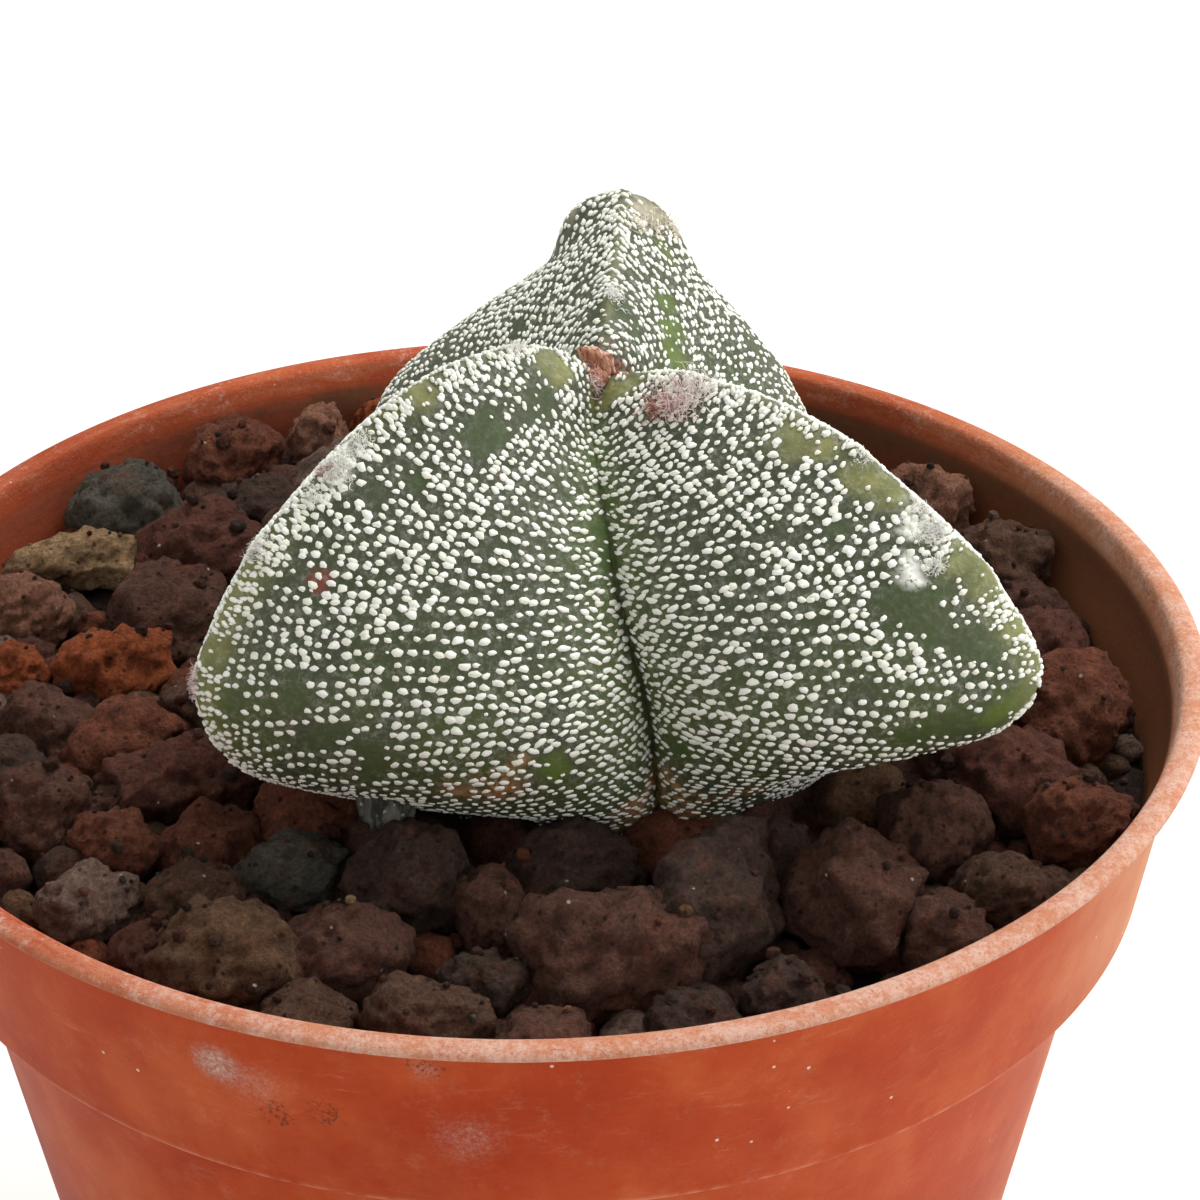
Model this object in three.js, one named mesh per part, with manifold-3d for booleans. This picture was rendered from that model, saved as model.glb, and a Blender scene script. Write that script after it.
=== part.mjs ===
// A three-ribbed bishop's cap cactus in a plastic nursery pot, top-dressed with lava gravel.
// Millimetres, +Z up. The origin is the centre of the circle that the pot stands on.

import * as THREE from 'three';
import { mergeVertices } from 'three/addons/utils/BufferGeometryUtils.js';
import Module from 'manifold-3d';

const wasm = await Module();
wasm.setup();

const DEGREE = Math.PI / 180;
const UP = new THREE.Vector3(0, 0, 1);

// Pot
const POT_HEIGHT = 74;
const RIM_RADIUS = 42.5;
const LIP_DROP = 0.9;
const COLLAR_TOP_RADIUS = 41.2;
const COLLAR_FOOT_RADIUS = 39.25;
const COLLAR_HEIGHT = 13.4;
const SHOULDER_RADIUS = 36.9;
const FOOT_RADIUS = 25.9;
const FOOT_RING_WIDTH = 1.8;
const BASE_LIFT = 2.5;
const WALL = 1.0;
const POT_SEGMENTS = 64;
const DRAIN_HOLES = 8;
const DRAIN_RADIUS = 3;
const DRAIN_CIRCLE = 15;
const DRAIN_SEGMENTS = 16;
const DRILL_LENGTH = 12;

// Gravel
const GRAVEL_LEVEL = POT_HEIGHT - 5;
const BED_DROP = 1.6;
const GAP = 0.35;
const BED_SEGMENTS = 40;
const FILL_SEED = 20417;
const FILL_TRIES = 1500;
const FILL_SMALLEST = 5.6;
const FILL_LARGEST = 9;
const FILL_FLATNESS = 0.86;
const FILL_SINK = 0.2;
const NECK_CLEARANCE = 11;
const STONE_SPACING = 0.43;
const STONE_FACETS = 11;
const STONE_ROUNDING = 9;
const STONE_SEED = 1000;
const GOLDEN_TURN = 2.39996;
const FACET_NEAREST = 0.86;
const FACET_SPREAD = 0.26;
const LONGEST_CORNER = 1.15;

// Stones that lie where they are seen: x, y, height over the gravel's level, length, width, height and turn.
const LAID_STONES = [
  [4.9, -27.9, 0.6, 11.2, 8.2, 7.6, 10], [10.9, -24.4, 1.4, 6.4, 10.6, 8.2, -24],
  [18.9, -23.8, 1.0, 7.0, 8.4, 7.4, 20], [2.4, -19.3, 0.2, 8.0, 5.6, 5.2, 0],
  [-7.0, -20.9, 0.9, 6.8, 7.2, 6.8, 35], [-10.6, -27.3, 0.4, 7.2, 6.0, 5.4, 0],
  [-17.1, -28.1, 0.7, 8.4, 6.6, 6.2, -15], [-25.7, -21.8, 0.5, 6.0, 4.8, 4.4, 30],
  [-13.9, -18.2, 0.0, 6.4, 4.6, 4.2, 10], [-29.8, -12.7, 0.8, 5.6, 6.4, 5.8, 0],
  [-21.3, -8.9, 0.2, 9.4, 5.8, 5.0, 8], [-24.7, -15.7, 0.3, 5.4, 4.4, 4.0, -20],
  [-19.5, -21.2, 0.2, 5.4, 4.6, 4.0, 0], [-21.9, -26.5, 0.0, 4.2, 3.8, 3.6, 40],
  [-2.3, -23.2, 0.3, 4.2, 4.8, 5.0, 0], [-2.6, -29.4, -0.2, 5.2, 4.2, 3.6, 0],
  [-6.0, -33.0, 0.2, 7.0, 4.6, 4.2, -8], [14.9, -19.4, 0.2, 3.6, 5.6, 5.0, 0],
  [14.2, -31.2, 0.0, 4.4, 4.4, 3.8, 0], [23.8, -16.3, 0.6, 7.0, 5.8, 5.6, 25],
  [29.2, -11.2, 0.8, 7.8, 6.0, 6.0, -20], [23.6, -26.4, 0.3, 6.4, 5.4, 4.8, -30],
  [27.4, -21.6, 0.1, 5.2, 4.4, 4.0, 0], [33.0, -15.4, 0.8, 5.8, 5.0, 5.0, 10],
  [34.0, -2.6, 0.6, 8.6, 7.0, 6.6, 80], [33.6, 5.2, 0.3, 5.4, 6.4, 5.4, 0],
  [28.0, 24.0, 0.9, 6.6, 6.2, 5.8, 0], [32.2, 16.6, 0.6, 6.2, 5.8, 5.2, 30],
  [-28.0, 23.6, 1.0, 7.2, 6.6, 6.8, 0], [-20.8, 30.4, 1.6, 6.8, 5.6, 5.2, 20],
  [-14.6, 33.6, 1.5, 4.2, 4.4, 4.4, 0], [-9.6, 35.4, 1.2, 5.2, 4.6, 4.6, 0],
  [-29.6, 16.9, 1.4, 10.6, 4.2, 3.8, 8], [-33.4, 10.6, 0.9, 6.2, 5.0, 4.6, 0],
  [-21.6, 17.2, 0.9, 8.8, 7.6, 7.4, -15], [-26.4, 3.6, 0.8, 7.6, 5.4, 5.2, 20],
  [-32.8, 3.4, 0.7, 3.6, 3.8, 3.6, 0], [27.4, 10.7, 0.3, 6.0, 6.0, 5.4, 45],
];

// Plant. Its own origin is on the gravel, under the crown.
const PLANT_X = 4.5;
const PLANT_Y = -4;
const NECK_SHARE = 10 / 12;
const FLECK_CELLS_ACROSS = 8;
const FLECK_CELLS_DOWN = 24;
const FLECK_RELIEF = 0.3;
const FLECK_SLOPE = 0.09;
const AREOLE_SPREAD = 1.8;

// Each rib's ridge runs from the crown over the tip and under to the root, as distance out and height.
// Crest is the half width of the ridge's roll, drop how far the roll falls over that width, and plump
// how far the flanks bulge, clockwise and then anticlockwise of the ridge, each from the crown to the neck.
const RIBS = [
  {
    azimuth: 211,
    ridge: [[0, 25.2], [3.2, 27.8], [9.0, 28.7], [14.8, 26.9], [20.3, 23.1], [24.8, 18.0], [27.2, 12.8],
      [25.7, 7.4], [19.8, 3.2], [13.4, 0], [10.5, -5], [6.5, -11], [0, -15]],
    crest: [2.2, 3.0, 3.1, 2.9, 2.6],
    drop: [0.7, 1.2, 1.0, 0, -0.4],
    plump: [[1, 1, 1, 1, 1], [1, 1, 1, 1, 1]],
    areoles: [[0.125, 0.3], [0.375, 0.35], [0.5, 0.3]],
  },
  {
    azimuth: 331,
    ridge: [[0, 25.2], [2.7, 26.1], [8.2, 26.5], [14.2, 25.4], [19.6, 22.4], [24.7, 18.5], [28.4, 13.0],
      [26.2, 8.5], [19.6, 5.6], [13.4, 0], [10.5, -5], [6.5, -11], [0, -15]],
    crest: [2.2, 3.0, 3.1, 2.9, 2.6],
    drop: [0.7, 1.2, 1.0, 0, -0.4],
    plump: [[1, 1, 1, 1, 1], [1, 1, 1, 1, 1]],
    areoles: [[0.125, 0.4], [0.29, 0.3], [0.417, 0.4]],
  },
  {
    azimuth: 84,
    ridge: [[0, 25.2], [3.4, 27.0], [9.4, 27.9], [15.6, 28.7], [21.2, 26.5], [26.0, 22.7], [28.4, 18.0],
      [27.0, 9.6], [20.5, 4.2], [13.4, 0], [10.5, -5], [6.5, -11], [0, -15]],
    crest: [2.2, 2.6, 3.6, 4.0, 2.6],
    drop: [0.7, 1.5, 2.4, 1.0, -0.4],
    plump: [[0.95, 1.35, 1.38, 1.28, 1.25], [0.95, 1.0, 1.95, 2.1, 1.6]],
    areoles: [[0.125, 0.3], [0.25, 0.35], [0.458, 0.5]],
  },
];
// A furrow runs down between each rib and the next: distance out, height, and a turn from its middle azimuth.
const FURROW = [[0, 25.2], [2.4, 23.6], [5.5, 21.6], [8.0, 19.0], [9.8, 16.2], [11.1, 13.0], [11.7, 9.7],
  [11.8, 6.5], [11.3, 3.3], [10.2, 0.2], [9.0, -5], [6.0, -11], [0, -15]];
const FURROWS = [
  { azimuth: 271, turn: [-16, -12, -4, 1, 3.5, 7.5, 11, 13, 15, 17, 17, 17, 17] },
  { azimuth: 28.5, turn: [0, 0] },
  { azimuth: 148.5, turn: [0, 0] },
];
// How a flank leaves its furrow: angle from the rib's own direction, rise, and share of the way that it
// keeps that course.
const FLANK_LEAVE = [20, 31, 42, 44, 38];
const FLANK_LIFT = [0, 0, 6, 14, 18];
const FLANK_REACH = [0.34, 0.34, 0.41, 0.43, 0.36];
// Across the ridge, a roll reaches no further than this share of the way to the furrow.
const ROLL_SHARE = 0.6;
const FULL_FALL_SPAN = 5;
// The rear rib swells into a blunt boss, made of three swellings. Each has its middle as distance out,
// distance to the left of the ridge, and height, then its radius, and how far it pushes out, left and up.
const BOSS_RIB = 2;
const BOSS_SWELLINGS = [
  { middle: [20.6, 0, 26], radius: 4.2, push: [0.35, 0, 0.94] },
  { middle: [21.0, 3.4, 27], radius: 3.2, push: [0.1, 1.3, 0.9] },
  { middle: [19.5, -4.0, 27], radius: 3.2, push: [0.45, -0.1, 0.85] },
];
// Two small lumps sit in the skin: the dried flower's base in the crown, and a dead nub low on the left.
const FLOWER_BASE = { size: [2.4, 1.8, 2.8], place: [-0.2, 0.4, 25.4] };
const NUB = { size: [3.2, 2.8, 3.8], place: [-12.9, -13.4, 4.3] };

// A fixed sequence of numbers from 0 to 1 that only depends on the seed.
function seededRandom(seed) {
  let state = seed >>> 0;
  return () => {
    state = (state + 0x6D2B79F5) >>> 0;
    let mixed = state;
    mixed = Math.imul(mixed ^ (mixed >>> 15), mixed | 1);
    mixed ^= mixed + Math.imul(mixed ^ (mixed >>> 7), mixed | 61);
    return ((mixed ^ (mixed >>> 14)) >>> 0) / 4294967296;
  };
}

// Value of a smooth curve through evenly spaced knots, at t from 0 to 1. Knots are numbers or lists of them.
function along(knots, t) {
  const place = THREE.MathUtils.clamp(t, 0, 1) * (knots.length - 1);
  const index = Math.min(Math.floor(place), knots.length - 2);
  const w = place - index;
  const blend = (before, from, to, after) => {
    const leave = (to - before) / 2;
    const arrive = (after - from) / 2;
    return ((2 * from - 2 * to + leave + arrive) * w + (3 * to - 3 * from - 2 * leave - arrive)) * w * w
      + leave * w + from;
  };
  const last = knots.length - 1;
  const four = [Math.max(index - 1, 0), index, index + 1, Math.min(index + 2, last)].map((i) => knots[i]);
  if (typeof knots[0] === 'number') return blend(...four);
  return knots[0].map((_, axis) => blend(...four.map((knot) => knot[axis])));
}

function fromAxis(out, azimuth, height) {
  return new THREE.Vector3(out * Math.cos(azimuth * DEGREE), out * Math.sin(azimuth * DEGREE), height);
}

// Geometry to solid and back, for joins and cuts.
function toSolid(geometry) {
  const bare = geometry.index ? geometry.clone() : geometry;
  bare.deleteAttribute('normal');
  bare.deleteAttribute('uv');
  const merged = mergeVertices(bare, 1e-4);
  const corners = [];
  for (let i = 0; i < merged.index.count; i += 3) {
    const [a, b, c] = [0, 1, 2].map((k) => merged.index.getX(i + k));
    if (a !== b && b !== c && c !== a) corners.push(a, b, c);
  }
  return new wasm.Manifold(new wasm.Mesh({
    numProp: 3,
    vertProperties: Float32Array.from(merged.attributes.position.array),
    triVerts: Uint32Array.from(corners),
  }));
}

function toGeometry(solid) {
  const mesh = solid.getMesh();
  const geometry = new THREE.BufferGeometry();
  geometry.setAttribute('position', new THREE.Float32BufferAttribute(mesh.vertProperties, 3));
  geometry.setIndex(Array.from(mesh.triVerts));
  return geometry;
}

// Keeps the largest closed shell, so loose scraps and sealed hollows go.
function largestShell(geometry) {
  const index = geometry.index.array;
  const position = geometry.attributes.position;
  const parent = Array.from({ length: position.count }, (_, i) => i);
  const root = (i) => {
    while (parent[i] !== i) {
      parent[i] = parent[parent[i]];
      i = parent[i];
    }
    return i;
  };
  for (let i = 0; i < index.length; i += 3) {
    parent[root(index[i + 1])] = root(index[i]);
    parent[root(index[i + 2])] = root(index[i]);
  }
  const volume = new Map();
  const [a, b, c] = [new THREE.Vector3(), new THREE.Vector3(), new THREE.Vector3()];
  for (let i = 0; i < index.length; i += 3) {
    a.fromBufferAttribute(position, index[i]);
    b.fromBufferAttribute(position, index[i + 1]);
    c.fromBufferAttribute(position, index[i + 2]);
    const shell = root(index[i]);
    volume.set(shell, (volume.get(shell) ?? 0) + a.dot(b.clone().cross(c)));
  }
  const largest = [...volume].sort((p, q) => q[1] - p[1])[0][0];
  const kept = [];
  for (let i = 0; i < index.length; i += 3) {
    if (root(index[i]) === largest) kept.push(index[i], index[i + 1], index[i + 2]);
  }
  geometry.setIndex(kept);
  return geometry;
}

// Revolves a profile of [radius, height] points round +Z.
function turned(profile, segments) {
  const points = profile.map(([radius, height]) => new THREE.Vector2(radius, height));
  return new THREE.LatheGeometry(points, segments).rotateX(Math.PI / 2);
}

// Pot: outside from the base's centre out and up, over the rounded lip, and down the stepped inside.
function potGeometry() {
  const shoulder = POT_HEIGHT - COLLAR_HEIGHT;
  const lip = POT_HEIGHT - LIP_DROP;
  const profile = [
    [0, BASE_LIFT],
    [FOOT_RADIUS - FOOT_RING_WIDTH - 0.6, BASE_LIFT],
    [FOOT_RADIUS - FOOT_RING_WIDTH, 0],
    [FOOT_RADIUS, 0],
    [SHOULDER_RADIUS, shoulder],
    [COLLAR_FOOT_RADIUS - 0.3, shoulder],
    [COLLAR_FOOT_RADIUS, shoulder + 0.3],
    [COLLAR_TOP_RADIUS, lip - 0.2],
    [RIM_RADIUS - 0.8, lip],
    [RIM_RADIUS - 0.1, lip + 0.25],
    [RIM_RADIUS, lip + 0.5],
    [RIM_RADIUS - 0.3, POT_HEIGHT - 0.1],
    [RIM_RADIUS - 0.9, POT_HEIGHT],
    [RIM_RADIUS - 1.5, POT_HEIGHT - 0.1],
    [RIM_RADIUS - 1.76, POT_HEIGHT - 0.4],
    [COLLAR_TOP_RADIUS - WALL, POT_HEIGHT - 2.4],
    [COLLAR_FOOT_RADIUS - WALL, shoulder + WALL],
    [SHOULDER_RADIUS - WALL, shoulder + WALL * 0.4],
    [FOOT_RADIUS - WALL + 0.5, BASE_LIFT + WALL * 2.5],
    [FOOT_RADIUS - WALL - 0.9, BASE_LIFT + WALL * 1.2],
    [0, BASE_LIFT + WALL * 1.2],
  ];
  let pot = toSolid(turned(profile, POT_SEGMENTS));
  for (let i = 0; i < DRAIN_HOLES; i += 1) {
    const drill = new THREE.CylinderGeometry(DRAIN_RADIUS, DRAIN_RADIUS, DRILL_LENGTH, DRAIN_SEGMENTS)
      .rotateX(Math.PI / 2);
    const centre = fromAxis(DRAIN_CIRCLE, (i + 0.5) * 360 / DRAIN_HOLES, BASE_LIFT);
    pot = pot.subtract(toSolid(drill.translate(centre.x, centre.y, centre.z)));
  }
  return toGeometry(pot);
}

// Inside of the pot up to a height over its lip, kept a gap away from the wall.
function potInside(top) {
  const shoulder = POT_HEIGHT - COLLAR_HEIGHT;
  const inset = WALL + GAP;
  const slope = (COLLAR_TOP_RADIUS - COLLAR_FOOT_RADIUS) / (COLLAR_HEIGHT - LIP_DROP);
  const topRadius = COLLAR_FOOT_RADIUS - inset + slope * (top - shoulder);
  return [
    [0, BASE_LIFT + WALL * 1.2 + GAP],
    [FOOT_RADIUS - inset - 1.2, BASE_LIFT + WALL * 1.2 + GAP],
    [FOOT_RADIUS - inset + 0.4, BASE_LIFT + WALL * 2.5 + GAP],
    [SHOULDER_RADIUS - inset, shoulder + WALL * 0.4 + GAP],
    [COLLAR_FOOT_RADIUS - inset - 0.05, shoulder + WALL + GAP],
    [Math.min(topRadius, COLLAR_TOP_RADIUS - inset), top],
    [0, top],
  ];
}

// Where gravel lies higher or lower than its level: heaped at the rear left, slack at the front right.
function gravelRise(x, y) {
  return THREE.MathUtils.clamp((y - x) / 33 - 0.36, -0.7, 1.4);
}

// The laid stones, then as many seeded ones as fit between them, inside the pot and clear of the neck.
function stonePlaces() {
  const inner = COLLAR_TOP_RADIUS - WALL - GAP - 0.4;
  const places = LAID_STONES.map(([x, y, z, length, width, height, turn]) => {
    const reach = Math.min(1, (inner - Math.min(length, width) / 2) / Math.hypot(x, y));
    return { x: x * reach, y: y * reach, z, length, width, height, turn };
  });
  const random = seededRandom(FILL_SEED);
  for (let i = 0; i < FILL_TRIES; i += 1) {
    const size = FILL_SMALLEST + (FILL_LARGEST - FILL_SMALLEST) * random() ** 2;
    const out = (inner - size / 2) * Math.sqrt(random());
    const { x, y } = fromAxis(out, 360 * random(), 0);
    const stretch = 0.8 + 0.4 * random();
    const turn = 180 * random();
    const crowded = places.some((p) => (
      Math.hypot(p.x - x, p.y - y) < STONE_SPACING * (size + (p.length + p.width) / 2)
    ));
    if (crowded || Math.hypot(x - PLANT_X, y - PLANT_Y) < NECK_CLEARANCE) continue;
    const z = gravelRise(x, y) - FILL_SINK;
    const height = size * FILL_FLATNESS;
    places.push({ x, y, z, length: size * stretch, width: size / stretch, height, turn });
  }
  return places;
}

// A broken pebble: the ball is cut by facets of random tilt and depth, with its edges worn round.
function stoneGeometry(place, number) {
  const random = seededRandom(STONE_SEED + number);
  const facets = [];
  for (let i = 0; i < STONE_FACETS; i += 1) {
    const rise = 1 - 2 * (i + 0.5 + 0.5 * (random() - 0.5)) / STONE_FACETS;
    const around = GOLDEN_TURN * i + 1.2 * (random() - 0.5);
    const flat = Math.sqrt(Math.max(0, 1 - rise * rise));
    const depth = FACET_NEAREST + FACET_SPREAD * random();
    facets.push([flat * Math.cos(around), flat * Math.sin(around), rise, depth]);
  }
  const laid = number < LAID_STONES.length;
  const geometry = laid ? new THREE.IcosahedronGeometry(1, 1) : new THREE.DodecahedronGeometry(1, 0);
  const position = geometry.attributes.position;
  for (let i = 0; i < position.count; i += 1) {
    const [x, y, z] = [position.getX(i), position.getY(i), position.getZ(i)];
    let sum = 0;
    for (const [nx, ny, nz, depth] of facets) {
      sum += Math.max(0, (x * nx + y * ny + z * nz) / depth) ** STONE_ROUNDING;
    }
    const radius = Math.min(LONGEST_CORNER, sum ** (-1 / STONE_ROUNDING));
    position.setXYZ(i, x * radius, y * radius, z * radius);
  }
  return geometry
    .scale(place.length / 2, place.width / 2, place.height / 2)
    .rotateZ(place.turn * DEGREE)
    .translate(place.x, place.y, GRAVEL_LEVEL + place.z);
}

function gravelGeometry(plantHole) {
  let gravel = toSolid(turned(potInside(GRAVEL_LEVEL - BED_DROP), BED_SEGMENTS));
  stonePlaces().forEach((place, number) => {
    gravel = gravel.add(toSolid(stoneGeometry(place, number)));
  });
  gravel = gravel.intersect(toSolid(turned(potInside(POT_HEIGHT + 8), BED_SEGMENTS)));
  return largestShell(toGeometry(gravel.subtract(plantHole)));
}

// Point of a rib's flank. u goes from the furrow, 0, to the ridge, 1, and v from crown, 0, to root, 1.
// Across, it is a cubic curve that leaves the furrow steeply and rolls level over the ridge.
function flankPoint(ribIndex, side, u, v) {
  const rib = RIBS[ribIndex];
  const furrow = FURROWS[side > 0 ? ribIndex : (ribIndex + 2) % 3];
  const form = v / NECK_SHARE;
  const outward = fromAxis(1, rib.azimuth, 0);
  const across = fromAxis(side, rib.azimuth + 90, 0);
  const [ridgeOut, ridgeHeight] = along(rib.ridge, v);
  const ridge = fromAxis(ridgeOut, rib.azimuth, ridgeHeight);
  const [furrowOut, furrowHeight] = along(FURROW, v);
  const valley = fromAxis(furrowOut, furrow.azimuth + along(furrow.turn, v), furrowHeight);
  const span = ridge.distanceTo(valley);
  const leave = along(FLANK_LEAVE, form) * DEGREE;
  const lift = along(FLANK_LIFT, form) * DEGREE;
  const course = outward.multiplyScalar(Math.cos(leave)).addScaledVector(across, Math.sin(leave))
    .multiplyScalar(Math.cos(lift)).addScaledVector(UP, Math.sin(lift));
  const reach = span * along(FLANK_REACH, form) * along(rib.plump[side > 0 ? 1 : 0], form);
  const roll = Math.min(along(rib.crest, form), ROLL_SHARE * span);
  const fall = along(rib.drop, form) * Math.min(1, span / FULL_FALL_SPAN);
  const bulge = valley.clone().addScaledVector(course, reach);
  const shoulder = ridge.clone().addScaledVector(across, roll).addScaledVector(UP, -fall);
  const point = valley.clone().multiplyScalar((1 - u) ** 3)
    .addScaledVector(bulge, 3 * (1 - u) ** 2 * u)
    .addScaledVector(shoulder, 3 * (1 - u) * u ** 2)
    .addScaledVector(ridge, u ** 3);
  return swollen(point);
}

// A vector given as its parts out along a rib, to the left of it, and up.
function ribVector(rib, [out, left, up]) {
  return fromAxis(out, rib.azimuth, up).add(fromAxis(left, rib.azimuth + 90, 0));
}

// Adds the boss and the areole cushions, each of which pushes the skin out by a bell-shaped height.
function swollen(point) {
  const raised = point.clone();
  for (const { middle, radius, push } of BOSS_SWELLINGS) {
    const away = point.distanceTo(ribVector(RIBS[BOSS_RIB], middle)) / radius;
    raised.addScaledVector(ribVector(RIBS[BOSS_RIB], push), Math.exp(-(away ** 4)));
  }
  for (const rib of RIBS) {
    for (const [v, height] of rib.areoles) {
      const [out, level] = along(rib.ridge, v);
      const centre = fromAxis(out, rib.azimuth, level);
      const away = point.distanceTo(centre) / AREOLE_SPREAD;
      raised.addScaledVector(centre.normalize(), height * Math.exp(-(away ** 2)));
    }
  }
  return raised;
}

// One flank as cells of four triangles. Each cell's middle stands out as a fleck, larger than life.
function flankTriangles(ribIndex, side, relief) {
  const corner = (i, j) => flankPoint(ribIndex, side, i / FLECK_CELLS_ACROSS, j / FLECK_CELLS_DOWN);
  const triangles = [];
  for (let j = 0; j < FLECK_CELLS_DOWN; j += 1) {
    for (let i = 0; i < FLECK_CELLS_ACROSS; i += 1) {
      const ring = [corner(i, j), corner(i, j + 1), corner(i + 1, j + 1), corner(i + 1, j)];
      if (side > 0) ring.reverse();
      const middle = corner(i + 0.5, j + 0.5);
      const outward = ring[2].clone().sub(ring[0]).cross(ring[3].clone().sub(ring[1])).normalize();
      const width = ring[0].distanceTo(ring[2]);
      if (middle.z > -1) middle.addScaledVector(outward, Math.min(relief, FLECK_SLOPE * width));
      ring.forEach((point, k) => triangles.push(middle, point, ring[(k + 1) % 4]));
    }
  }
  return triangles;
}

function plantSurface(relief) {
  const points = [];
  for (let rib = 0; rib < RIBS.length; rib += 1) {
    points.push(...flankTriangles(rib, -1, relief), ...flankTriangles(rib, 1, relief));
  }
  return new THREE.BufferGeometry().setFromPoints(points);
}

// A surface moved out along its normals.
function grown(geometry, distance) {
  const merged = mergeVertices(geometry, 1e-3);
  merged.computeVertexNormals();
  const { position, normal } = merged.attributes;
  for (let i = 0; i < position.count; i += 1) {
    position.setXYZ(
      i,
      position.getX(i) + distance * normal.getX(i),
      position.getY(i) + distance * normal.getY(i),
      position.getZ(i) + distance * normal.getZ(i),
    );
  }
  return merged;
}

// A small round lump sunk into the plant, grown on all sides by a clearance.
function lump({ size, place }, clearance) {
  const grown = size.map((length) => length + 2.2 * clearance);
  return toSolid(new THREE.IcosahedronGeometry(0.5, 1).scale(...grown).translate(...place));
}

// The whole plant, or its hole in the gravel when its skin is moved out by a clearance.
function plantSolid(clearance) {
  const skin = clearance > 0 ? grown(plantSurface(0), FLECK_RELIEF + clearance) : plantSurface(FLECK_RELIEF);
  return toSolid(skin).add(lump(FLOWER_BASE, clearance)).add(lump(NUB, clearance));
}

function named(name, geometry, color, roughness) {
  const mesh = new THREE.Mesh(geometry, new THREE.MeshStandardMaterial({ color, roughness, metalness: 0 }));
  mesh.name = name;
  return mesh;
}

const cactus = named('cactus', largestShell(toGeometry(plantSolid(0))), 0x5f6f4e, 0.7);
cactus.position.set(PLANT_X, PLANT_Y, GRAVEL_LEVEL);
const plantHole = toGeometry(plantSolid(GAP + 0.1)).translate(PLANT_X, PLANT_Y, GRAVEL_LEVEL);

const plantedPot = new THREE.Group();
plantedPot.add(
  named('pot', potGeometry(), 0xb75534, 0.5),
  named('gravel', gravelGeometry(toSolid(plantHole)), 0x5a3a30, 0.95),
  cactus,
);

export default plantedPot;
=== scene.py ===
"""Potted three-ribbed bishop's cap cactus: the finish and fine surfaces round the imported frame.

Sizes are in millimetres and angles in degrees, and a mesh turns them to metres when it is made. The part's origin is
the centre of the circle that the pot stands on, with +Z up. The plant's own origin is on the gravel, under the crown.
"""

import bpy
import numpy as np
from bpy.props import FloatProperty, FloatVectorProperty, IntProperty, PointerProperty
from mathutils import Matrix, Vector
from mathutils.bvhtree import BVHTree


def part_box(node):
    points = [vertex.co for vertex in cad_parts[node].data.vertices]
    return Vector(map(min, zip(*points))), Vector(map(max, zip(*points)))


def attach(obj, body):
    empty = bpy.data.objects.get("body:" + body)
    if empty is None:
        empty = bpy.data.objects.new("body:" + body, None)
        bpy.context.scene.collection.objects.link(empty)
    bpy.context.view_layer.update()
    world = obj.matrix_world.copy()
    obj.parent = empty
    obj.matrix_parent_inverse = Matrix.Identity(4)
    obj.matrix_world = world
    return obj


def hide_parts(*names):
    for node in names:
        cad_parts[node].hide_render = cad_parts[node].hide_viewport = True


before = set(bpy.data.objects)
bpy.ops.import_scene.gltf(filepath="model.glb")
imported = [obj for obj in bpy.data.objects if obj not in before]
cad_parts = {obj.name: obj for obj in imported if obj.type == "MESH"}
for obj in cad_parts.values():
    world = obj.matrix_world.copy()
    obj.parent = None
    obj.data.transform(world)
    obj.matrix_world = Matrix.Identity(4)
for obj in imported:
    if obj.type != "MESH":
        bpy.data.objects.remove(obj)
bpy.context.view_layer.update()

bl_info = {
    "name": "Potted bishop's cap cactus",
    "version": (1, 0, 0),
    "blender": (4, 5, 0),
    "location": "3D View > Sidebar > Planted pot",
    "description": "Builds the pot, the gravel and the flecked plant, and a plain stage for them",
    "category": "Object",
}

MM = 0.001
DEGREE = np.pi / 180
UP = np.array([0.0, 0.0, 1.0])

# Pot, as in the frame
POT_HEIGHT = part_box("pot")[1].z / MM
RIM_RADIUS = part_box("pot")[1].x / MM
LIP_DROP = 0.9
LIP_DEPTH = 2.4
COLLAR_TOP_RADIUS = RIM_RADIUS - 1.3
COLLAR_FOOT_RADIUS = RIM_RADIUS - 3.25
COLLAR_HEIGHT = 13.4
SHOULDER_HEIGHT = POT_HEIGHT - COLLAR_HEIGHT
SHOULDER_RADIUS = 36.9
FOOT_RADIUS = 25.9
FOOT_RING_WIDTH = 1.8
BASE_LIFT = 2.5
WALL = 1.0
# Height of the inside over the outside, as shares of the wall: on the floor, at its edge and on the shoulder.
FLOOR_SHARE, FLOOR_EDGE_SHARE, SHOULDER_SHARE = 1.2, 2.5, 0.4
POT_ROUNDING = 0.35
DRAIN_HOLES = 8
DRAIN_RADIUS = 3.0
DRAIN_CIRCLE = 15.0
DRAIN_FIELD = (6.0, 22.5)
SECTOR_STEPS = 12
SECTOR_RINGS = 6

# Gravel, as in the frame
GRAVEL_LEVEL = POT_HEIGHT - 5
BED_DROP = 1.6
BED_SEGMENTS = 180
BED_RINGS = 56
# Gravel is heaped at the rear left and slack at the front right: millimetres for a rise of one, where it
# starts, and its limits.
HEAP_REACH, HEAP_START, HEAP_LIMITS = 33, 0.36, (-0.7, 1.4)
GAP = 0.35
ROOM_RADIUS = COLLAR_TOP_RADIUS - WALL - GAP - 0.4
STONE_SEED = 1000
STONE_FACETS = 11
GOLDEN_TURN = 2.39996
FACET_NEAREST = 0.86
FACET_SPREAD = 0.26
LONGEST_CORNER = 1.15
FINE_ROUNDING = 30
FLATNESS = 0.86
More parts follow.
